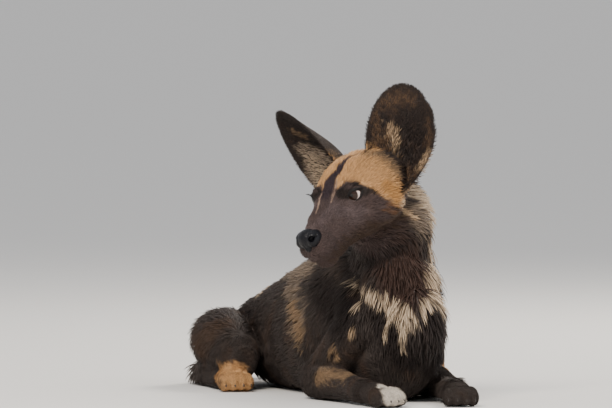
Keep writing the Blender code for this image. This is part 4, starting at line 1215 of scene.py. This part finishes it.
def grow_body_coat(skin):
    """The coat of the whole animal but its ears."""
    draw = np.random.default_rng(COAT_SEED)

    def density(points, normals):
        _, length, _ = coat_at(points)
        under = (normals[:, 2] < UNDER_FACING) & (points[:, 2] < UNDER_HEIGHT)
        return COVER / (length * tuft_width(length)) * np.where(under, UNDER_COVER, 1.0)

    roots, outward = scatter(skin, density, draw)
    roots, outward = clear_of_bare_skin(roots, outward)
    order = np.argsort(roots[:, 1] + 0.3 * roots[:, 2])
    roots, outward = roots[order], outward[order]
    way, length, lift = coat_at(roots)
    count = len(roots)
    lumps = 1 + LUMPS * soft_noise(roots, 0.014, 27)
    way = comb(roots, outward, way, draw, flow=0.22, stray=0.06)
    reach = length * vary(draw, count, 0.15) * TUFT_LENGTHENING
    way[:, 2] = np.maximum(way[:, 2], (FLOOR_CLEAR - roots[:, 2]) / reach)
    way = unit(way)
    tufts = {
        "roots": roots,
        "outward": outward,
        "way": way,
        "length": reach,
        "width": tuft_width(length) * vary(draw, count, 0.15),
        "rise": reach * lift * lumps * vary(draw, count, 0.15),
        "colours": paint_at(roots + way * (reach * 0.5)[:, None]) * vary(draw, count, 0.12)[:, None],
    }
    return coat_pieces("coat_body", tufts)


# Lashes and whiskers

LASHES = 16
LASH_LENGTH = 0.0075
LASH_WIDTH = 0.0006
LASH_LIFT = 0.18
LASH_CLEARANCE = 0.0012
WHISKER_ROWS = metres(((56, 20, -20), (50, 22, -26), (44, 23, -18), (40, 24, -26)))
WHISKER_LENGTH = 0.020
WHISKER_WIDTH = 0.00045
WHISKER_LIFT = 0.05


def lash_tufts(side):
    """The lashes of the upper lid, longest over the outer corner."""
    frame = eye_frame(side)
    _, aim, along, up = frame
    rows = []
    for index in range(LASHES):
        angle = math.pi * (0.12 + 0.70 * index / (LASHES - 1))
        across, _ = almond(angle)
        root = over_eyeball(frame, lid_edge(frame, angle, higher=1.1), LASH_CLEARANCE)
        way = (aim + up * 0.35 + along * across * 0.7).normalized()
        rows.append((root, way, LASH_LENGTH * (0.75 + 0.35 * across), LASH_WIDTH, LASH_LIFT))
    return rows


def whisker_tufts(side, skin_tree):
    """A few short whiskers on each side of the muzzle."""
    rows = []
    for x, y, z in WHISKER_ROWS:
        for lower in (0.0, 0.006):
            root = skin_tree.find_nearest(head_point(x, y * SIDES[side], z - lower))[0]
            way = head_way(-0.55, 0.75 * SIDES[side], -0.25 - 30 * lower)
            rows.append((root, way, WHISKER_LENGTH, WHISKER_WIDTH, WHISKER_LIFT))
    return rows


def grow_lashes(skin):
    """The lashes and whiskers of both sides as one mesh."""
    tree = surface_of(skin)
    rows = []
    for side in SIDES:
        rows += lash_tufts(side) + whisker_tufts(side, tree)
    roots = np.array([row[0] for row in rows])
    way = np.array([row[1] for row in rows])
    outward = unit(np.cross(np.cross(way, np.array(UP)), way))
    length, width, lift = (np.array([row[index] for row in rows]) for index in (2, 3, 4))
    black = np.tile(np.array(BLACK) * 0.5, (len(rows), 1))
    parts = (roots, outward, way, length, width, length * lift, black)
    return tuft_mesh("lashes", dict(zip(TUFT_KEYS, parts)))


# Where the coat keeps off the bare skin: round the eye, in shares of its opening, and the nose's radii
LID_CLEAR = (1.28, 1.45)
LID_CLEAR_REACH = 0.02
NOSE_CLEAR = (0.013, 0.0125, 0.0125)


def clear_of_bare_skin(roots, outward):
    """Leave out the roots on the lids' rims and under the nose's pad."""
    keep = np.ones(len(roots), dtype=bool)
    for side in SIDES:
        centre, aim, along, up = eye_frame(side)
        away = roots - np.array(centre)
        ahead = away @ np.array(aim) > 0
        reach = (away @ np.array(along) / (EYE_OPENING[0] * LID_CLEAR[0])) ** 2
        reach += (away @ np.array(up) / (EYE_OPENING[1] * LID_CLEAR[1])) ** 2
        keep &= ~(ahead & (reach < 1) & (np.linalg.norm(away, axis=1) < LID_CLEAR_REACH))
    in_head = (roots - np.array(MID_EYES)) @ HEAD_TURN.T
    nose = (in_head - np.array(NOSE_PLACE)) / NOSE_CLEAR
    keep &= (nose ** 2).sum(1) > 1
    return roots[keep], outward[keep]


# The ears' coat covers less than the body's, and the cup is where the surface faces its opening
EAR_COVER = 0.62
CUP_FACING = 0.05
EAR_FAN = 0.016
# Least length in the cup and what is added in its depth; length behind and what the rim loses
CUP_HAIR = (0.0030, 0.0085)
BACK_HAIR = (0.0046, 0.0014)
CUP_LIFT = 0.30
BACK_LIFT = 0.10


def ear_spots(side, points):
    """Where some points lie on an ear: from its middle to its sides, root and tip, as shares."""
    root, axis, outer, _ = (np.array(part) for part in ear_frame(side))
    away = points - root
    wide = (away @ outer - EAR_MIDDLE[0]) / (EAR_WIDTH / 2)
    high = (away @ axis - EAR_MIDDLE[1]) / (EAR_HEIGHT / 2)
    return wide, high


def grow_ear_coat(side, form):
    """The short coat of an ear's back and the longer hair in its cup."""
    draw = np.random.default_rng(COAT_SEED + SIDES[side] + 7)
    root, axis, _, opening = (np.array(part) for part in ear_frame(side))

    def size(points, inside):
        wide, high = ear_spots(side, points)
        rim = np.clip(np.hypot(wide, high), 0, 1)
        deep = np.clip(1.1 - rim, 0, 1) * np.clip(0.8 - high, 0.15, 1)
        return np.where(inside, CUP_HAIR[0] + CUP_HAIR[1] * deep, BACK_HAIR[0] - BACK_HAIR[1] * rim)

    def density(points, normals):
        length = size(points, normals @ opening > CUP_FACING)
        return EAR_COVER * COVER / (length * tuft_width(length))

    roots, outward = scatter(form, density, draw)
    keep = ear_spots(side, roots)[1] > -1.0
    roots, outward = roots[keep], outward[keep]
    inside = outward @ opening > CUP_FACING
    count = len(roots)
    way = comb(roots, outward, roots - root - axis * EAR_FAN, draw, flow=0.30, stray=0.10)
    length = size(roots, inside) * vary(draw, count, 0.15)
    lift = np.where(inside, CUP_LIFT, BACK_LIFT)
    tufts = {
        "roots": roots,
        "outward": outward,
        "way": way,
        "length": length,
        "width": tuft_width(length) * vary(draw, count, 0.15),
        "rise": length * lift * vary(draw, count, 0.2),
        "colours": ear_paint(side, roots, inside) * vary(draw, count, 0.14)[:, None],
    }
    return coat_pieces("coat_ear_" + side, tufts)


# How strongly the ears' marks are broken up
EAR_MOTTLE = {"left": 0.70, "right": 0.15}
# Colour, softness and stops as wide, high and half width, all as shares of the ear
EAR_MARKS = {
    "left": (
        (BROWN, 0.12, ((-0.74, 0.42, 0.08), (-0.70, 0.05, 0.14), (-0.58, -0.40, 0.16))),
        (BROWN, 0.20, ((-0.55, 0.62, 0.10), (-0.10, 0.76, 0.10), (0.30, 0.66, 0.08))),
        (BROWN, 0.14, ((-0.42, 0.16, 0.08), (-0.42, -0.40, 0.12), (-0.20, -0.66, 0.14))),
        (SAND, 0.16, ((-0.34, 0.24, 0.07), (-0.24, 0.04, 0.13), (-0.22, -0.14, 0.07))),
        (OCHRE, 0.16, ((-0.24, -0.26, 0.05), (-0.16, -0.44, 0.07))),
        (SAND, 0.12, ((0.76, -0.26, 0.05), (0.66, -0.42, 0.09), (0.50, -0.54, 0.08))),
        (BROWN, 0.14, ((0.16, -0.60, 0.10), (0.40, -0.68, 0.10))),
        (BROWN, 0.14, ((0.72, 0.30, 0.04), (0.78, 0.05, 0.06), (0.74, -0.10, 0.08))),
    ),
    "right": (
        (OCHRE, 0.14, ((0.30, 0.52, 0.07), (0.16, 0.34, 0.06))),
        (FAWN, 0.18, ((0.58, 0.12, 0.18), (0.54, -0.25, 0.38), (0.40, -0.62, 0.36))),
        (CREAM, 0.16, ((0.70, -0.02, 0.08), (0.64, -0.40, 0.18), (0.50, -0.66, 0.14))),
    ),
}


def ear_paint(side, points, inside):
    """The colours of an ear's coat."""
    wide, high = ear_spots(side, points)
    grain = soft_noise(points, 0.009, 31)
    blotch = soft_noise(points, 0.024, 32)
    mottle = np.clip(1 + soft_noise(points, 0.010, 33) * EAR_MOTTLE[side], 0, 1)
    colour = np.tile(np.array(BLACK), (len(points), 1))
    colour = laid_over(colour, UMBER, np.clip(blotch * 1.3 - 0.15 + grain * 0.6, 0, 1) * 0.55)
    colour = np.where(inside[:, None], colour, np.array(SMOKE) * (1 + 0.3 * grain[:, None]))
    flat = np.stack([wide + grain * 0.06, high + blotch * 0.06, wide * 0], 1)
    for tint, edge, stops in EAR_MARKS[side]:
        depth = depth_in_stroke(flat, [(x, y, 0.0, half) for x, y, half in stops])
        share = np.clip(depth / edge + 0.5 + grain * 0.55, 0, 1)
        colour = laid_over(colour, tint, share * inside * mottle)
    rim = np.clip((np.hypot(wide, high) - 0.90) * 14, 0, 1)
    colour = laid_over(colour, BLACK, rim * inside * (high > -0.1))
    return laid_over(colour, OCHRE, np.clip((-high - 0.80 + grain * 0.20) * 5, 0, 1))


# Materials

def new_group(name, inputs, outputs):
    """An empty shader node group with named inputs and outputs."""
    group = bpy.data.node_groups.new(name, "ShaderNodeTree")
    for label, kind, value in inputs:
        socket = group.interface.new_socket(label, in_out="INPUT", socket_type=kind)
        socket.default_value = value
    for label, kind in outputs:
        group.interface.new_socket(label, in_out="OUTPUT", socket_type=kind)
    start = group.nodes.new("NodeGroupInput")
    end = group.nodes.new("NodeGroupOutput")
    return group, start, end


def mottling_group():
    """Fine uneven lightness over a colour, and a height for the bumps."""
    group, start, end = new_group(
        "mottling",
        [("Color", "NodeSocketColor", (0.5, 0.5, 0.5, 1)), ("Scale", "NodeSocketFloat", 400.0),
         ("Amount", "NodeSocketFloat", 0.3)],
        [("Color", "NodeSocketColor"), ("Height", "NodeSocketFloat")],
    )
    place = group.nodes.new("ShaderNodeTexCoord")
    noise = group.nodes.new("ShaderNodeTexNoise")
    noise.inputs["Detail"].default_value = 3
    noise.inputs["Roughness"].default_value = 0.6
    span = group.nodes.new("ShaderNodeMapRange")
    span.inputs["To Min"].default_value = 0.45
    span.inputs["To Max"].default_value = 1.55
    mix = group.nodes.new("ShaderNodeMix")
    mix.data_type = "RGBA"
    mix.blend_type = "MULTIPLY"
    link = group.links.new
    link(place.outputs["Object"], noise.inputs["Vector"])
    link(start.outputs["Scale"], noise.inputs["Scale"])
    link(noise.outputs["Fac"], span.inputs["Value"])
    link(start.outputs["Amount"], mix.inputs["Factor"])
    link(start.outputs["Color"], mix.inputs["A"])
    link(span.outputs["Result"], mix.inputs["B"])
    link(mix.outputs["Result"], end.inputs["Color"])
    link(noise.outputs["Fac"], end.inputs["Height"])
    return group


def new_material(name, colour, roughness, specular=0.5):
    """A material with a plain shader, and its node tree's parts."""
    material = bpy.data.materials.new(name)
    material.use_nodes = True
    tree = material.node_tree
    shader = tree.nodes["Principled BSDF"]
    shader.inputs["Base Color"].default_value = (*colour, 1)
    shader.inputs["Roughness"].default_value = roughness
    shader.inputs["Specular IOR Level"].default_value = specular
    return material, tree, shader


def painted_colour(tree):
    """The colour that is painted on a mesh, as an output for a shader."""
    paint = tree.nodes.new("ShaderNodeVertexColor")
    paint.layer_name = "coat_colour"
    return paint.outputs["Color"]


def add_bump(tree, shader, height, strength, distance):
    """Feed a height to the shader's normal."""
    bump = tree.nodes.new("ShaderNodeBump")
    bump.inputs["Strength"].default_value = strength
    bump.inputs["Distance"].default_value = distance
    tree.links.new(height, bump.inputs["Height"])
    tree.links.new(bump.outputs["Normal"], shader.inputs["Normal"])


def coat_material(mottling, name, amount, scale, roughness):
    """Hair: the colour painted on the mesh, made uneven by fine mottling."""
    material, tree, shader = new_material(name, UMBER, roughness, 0.25)
    uneven = tree.nodes.new("ShaderNodeGroup")
    uneven.node_tree = mottling
    uneven.inputs["Scale"].default_value = scale
    uneven.inputs["Amount"].default_value = amount
    tree.links.new(painted_colour(tree), uneven.inputs["Color"])
    tree.links.new(uneven.outputs["Color"], shader.inputs["Base Color"])
    add_bump(tree, shader, uneven.outputs["Height"], 0.35, 0.0006)
    return material


def leather_material():
    """The nose's pebbled, slightly moist skin."""
    material, tree, shader = new_material("nose_leather", (0.004, 0.004, 0.006), 0.34, 0.22)
    place = tree.nodes.new("ShaderNodeTexCoord")
    cells = tree.nodes.new("ShaderNodeTexVoronoi")
    cells.inputs["Scale"].default_value = 700
    tree.links.new(place.outputs["Object"], cells.inputs["Vector"])
    add_bump(tree, shader, cells.outputs["Distance"], 0.55, 0.0007)
    return material


def eye_material():
    """The eye: painted iris and white under a clear wet coat."""
    material, tree, shader = new_material("eye_surface", (0.05, 0.02, 0.01), 0.30, 0.1)
    for label, value in (("Weight", 1.0), ("IOR", 1.32), ("Roughness", 0.02)):
        shader.inputs["Coat " + label].default_value = value
    tree.links.new(painted_colour(tree), shader.inputs["Base Color"])
    return material


def paint_mesh(item, colours):
    """Write a colour for each corner of an object's mesh."""
    tint = item.data.color_attributes.new("coat_colour", "FLOAT_COLOR", "POINT")
    full = np.ones((len(colours), 4))
    full[:, :3] = np.clip(colours, 0, 1)
    tint.data.foreach_set("color", full.ravel())


# Eyes, lids, nose and claws

IRIS_REACH = math.radians(43)
PUPIL_REACH = math.radians(15)
IRIS_EDGE = 0.07
IRIS_COLOUR = (0.026, 0.010, 0.006)
EDGE_COLOUR = (0.012, 0.007, 0.005)
PUPIL_COLOUR = (0.004, 0.003, 0.003)
EYE_WHITE = (0.72, 0.58, 0.54)
RIM_POINTS = 56
RIM_GIRTH = 0.0013
RIM_THICKER = 0.0005
RIM_CLEARANCE = 0.0004
# Middles, counted from the nose's place, and radii
NOSE_BALL = metres(((0, 0, 0), (12, 13.5, 11.5)))
NOSE_FOOT = metres(((1, 0, -8), (9.5, 6.2, 8.5)))
NOSE_WING = metres(((-1, 8.8, -1), (12, 7.4, 10)))
NOSTRIL = metres(((6, 11.4, 2.2), (5.2, 4, 3.8)))
NOSTRIL_SLIT = metres(((1.9, 14.3, 3), (8.2, 2.4, 1.5)))
NOSE_GROOVE = metres(((11.2, 0, -8.5), (3, 0.7, 8.5)))
# Reach ahead of the claw's root, height over the floor and girth
CLAW_ROWS = metres(((-6, 13, 2.2), (0, 12.2, 2.1), (4, 9.5, 1.5), (6, 7, 0.6)))


def eyeball(side):
    """The eye with its white, iris and pupil."""
    centre = eye_frame(side)[0]
    aim = head_way(IRIS_AIM[0], IRIS_AIM[1] * SIDES[side], IRIS_AIM[2])
    across = aim.cross(UP).normalized()
    mesh = bmesh.new()
    add_blob(mesh, centre, (EYE_RADIUS,) * 3, (across, aim.cross(across), aim), rows=48)
    item = new_object("eyeball_" + side, mesh)
    points, _ = points_of(item)
    away = unit(points - np.array(centre))
    angle = np.arccos(np.clip(away @ np.array(aim), -1, 1))
    spoke = np.arctan2(away @ np.array(across), away @ np.array(aim.cross(across)))
    rays = 0.75 + 0.25 * np.sin(spoke * 29) * np.sin(spoke * 13 + 1)
    iris = np.array(IRIS_COLOUR) * rays[:, None]
    colour = np.where((angle < IRIS_REACH)[:, None], iris, EYE_WHITE)
    colour = laid_over(colour, EDGE_COLOUR, np.exp(-((angle - IRIS_REACH) / IRIS_EDGE) ** 2))
    colour = np.where((angle < PUPIL_REACH)[:, None], PUPIL_COLOUR, colour)
    paint_mesh(item, colour)
    return item


def lid_rim(side):
    """The dark bare rim round the eye's opening, thickest at the inner corner."""
    frame = eye_frame(side)
    centre, _, along, up = frame
    mesh = bmesh.new()
    rings = []
    for index in range(RIM_POINTS):
        angle = 2 * math.pi * index / RIM_POINTS
        across, height = almond(angle)
        middle = over_eyeball(frame, lid_edge(frame, angle, wider=1.02, higher=1.04), RIM_CLEARANCE)
        girth = RIM_GIRTH + RIM_THICKER * ((height > 0) + max(-across, 0) ** 4)
        outward = (middle - centre).normalized()
        run = along * -math.sin(angle) * EYE_OPENING[0] + up * math.cos(angle) * EYE_OPENING[1]
        sideways = run.cross(outward).normalized()
        rings.append(ring(mesh, middle, sideways, outward, girth, girth * 0.8, 2, 10))
    for first, second in zip(rings, rings[1:] + rings[:1]):
        bridge(mesh, first, second)
    return new_object("lid_rim_" + side, mesh)


def add_nose_form(mesh, form, sign, axes=HEAD_AXES, rows=16):
    """One ellipsoid of the nose, on the left or, where the sign is negative, on the right."""
    place, radii = form
    middle = [away + base for away, base in zip(place, NOSE_PLACE)]
    add_blob(mesh, mirrored_point(middle, sign), radii, axes, rows)


def nose_pad():
    """The bare nose with its two nostrils and the groove between them."""
    mesh = bmesh.new()
    add_nose_form(mesh, NOSE_BALL, 1, rows=24)
    add_nose_form(mesh, NOSE_FOOT, 1, rows=24)
    holes = bmesh.new()
    add_nose_form(holes, NOSE_GROOVE, 1)
    for sign in SIDES.values():
        add_nose_form(mesh, NOSE_WING, sign, rows=24)
        tilted = (head_way(0.75, 0.55 * sign, 0), head_way(-0.55, 0.75 * sign, 0), UP)
        add_nose_form(holes, NOSTRIL, sign, tilted)
        add_nose_form(holes, NOSTRIL_SLIT, sign, (head_way(1, -0.57 * sign, -0.18), LEFT, UP))
    pad = new_object("nose_pad", mesh)
    merge_forms(pad, NOSE_VOXEL, 5)
    cutter = new_object("nostrils", holes)
    merge_forms(cutter, NOSTRIL_VOXEL, 2)
    combine(pad, cutter, "DIFFERENCE")
    return pad


def claws():
    """Four short bent claws past the toes of each paw."""
    mesh = bmesh.new()
    for wrist, tip in paw_places():
        along, across = paw_ways(wrist, tip)
        for place in TOES:
            inner = 1 - abs(place)
            root = tip + along * (0.006 * inner - 0.005) + across * (place * PAW_WIDTH * 0.37)
            heading = along + across * place * TOE_SPREAD
            rows = []
            for reach, height, girth in CLAW_ROWS:
                centre = root + heading * reach
                rows.append((centre.x, centre.y, height, girth, girth * 1.2))
            add_tube(mesh, rows, UPRIGHT, steps=4, sides=12)
    return new_object("claws", mesh)


# Floor, light and camera

def make_floor():
    """A plain pale floor."""
    mesh = bmesh.new()
    bmesh.ops.create_grid(mesh, x_segments=1, y_segments=1, size=FLOOR_HALF)
    floor = new_object("floor", mesh)
    floor.data.materials.append(new_material("floor_paint", (0.80, 0.785, 0.76), 0.8, 0.2)[0])


def point_at(item, place, aim):
    """Put a lamp or the camera at a place and turn it along a direction."""
    item.location = place
    item.rotation_mode = "QUATERNION"
    item.rotation_quaternion = aim.to_track_quat("-Z", "Y")


def add_light(name, place, power, size, colour):
    """A soft square lamp that points at the animal."""
    data = bpy.data.lights.new(name, "AREA")
    data.energy = power
    data.size = size
    data.color = colour
    point_at(place_object(name, data), Vector(place), LAMP_TARGET - Vector(place))


def make_light():
    """Soft studio light, brightest from above the camera's left."""
    world = bpy.data.worlds.new("studio")
    world.use_nodes = True
    world.node_tree.nodes["Background"].inputs["Color"].default_value = (0.92, 0.93, 0.96, 1)
    world.node_tree.nodes["Background"].inputs["Strength"].default_value = 0.75
    bpy.context.scene.world = world
    add_light("key", (-1.7, -2.1, 2.4), 118, 1.1, (1.0, 0.93, 0.84))
    add_light("fill", (1.9, -2.9, 1.2), 34, 3.0, (0.96, 0.97, 1.0))
    add_light("rim", (1.8, 1.2, 1.9), 60, 0.9, (1.0, 0.93, 0.82))


def make_camera():
    """The camera at the photograph's angle, far away with a long lens."""
    back = Vector((
        math.sin(VIEW_TURN) * math.cos(VIEW_RISE),
        -math.cos(VIEW_TURN) * math.cos(VIEW_RISE),
        math.sin(VIEW_RISE),
    ))
    right = Vector((math.cos(VIEW_TURN), math.sin(VIEW_TURN), 0))
    up = back.cross(right)
    data = bpy.data.cameras.new("camera")
    data.sensor_width = SENSOR
    data.lens = SENSOR * VIEW_DISTANCE / VIEW_WIDTH
    data.clip_end = 100
    camera = place_object("camera", data)
    target = SHIFT + right * VIEW_CENTRE[0] + up * VIEW_CENTRE[1]
    point_at(camera, target + back * VIEW_DISTANCE, -back)
    bpy.context.scene.camera = camera


# Putting it together

def dress(item, material):
    """Give a piece its material and place it in the part's frame."""
    item.data.materials.clear()
    item.data.materials.append(material)
    points, _ = points_of(item)
    set_points(item, points + np.array(SHIFT))
    for face in item.data.polygons:
        face.use_smooth = True
    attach(item, "root")


def flesh_nodes():
    """The names of the solids that the skin stands for."""
    apart = ("eye_left", "eye_right", "nose")
    return [name for name in frame["nodes"] if name not in apart]


make_camera()
make_light()
make_floor()

SKIN = make_skin()
MARKS = lay_marks(SKIN)
EARS = {side: ear(side) for side in SIDES}
whole = place_object("whole", SKIN.data.copy())
for form in EARS.values():
    combine(whole, place_object("ear_copy", form.data.copy()), "UNION")
UNWRAP = Unwrap(whole, UNWRAP_FACES)
COAT = grow_body_coat(SKIN)
COAT.append(grow_lashes(SKIN))
for side, form in EARS.items():
    COAT += grow_ear_coat(side, form)
for form in [SKIN, *EARS.values()]:
    bpy.data.objects.remove(form)
whole.name = "skin"
# The skin beneath the coat carries the coat's colours, darkened by painted shade
paint_mesh(whole, paint_at(points_of(whole)[0]) * SKIN_SHADE_UNDER_COAT)

MOTTLING = mottling_group()
hair = coat_material(MOTTLING, "coat_hair", 0.35, 380.0, 0.62)
hide = coat_material(MOTTLING, "hide", 0.5, 500.0, 0.8)
leather = leather_material()
wet = eye_material()
edge_skin = new_material("lid_skin", (0.010, 0.008, 0.008), 0.5, 0.2)[0]
horn = new_material("claw_horn", (0.030, 0.024, 0.020), 0.4)[0]

dress(whole, hide)
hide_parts(*flesh_nodes())
for item in COAT:
    dress(item, hair)
nose = nose_pad()
dress(nose, leather)
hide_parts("nose")
for side in SIDES:
    eye = eyeball(side)
    dress(eye, wet)
    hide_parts("eye_" + side)
    dress(lid_rim(side), edge_skin)
dress(claws(), horn)
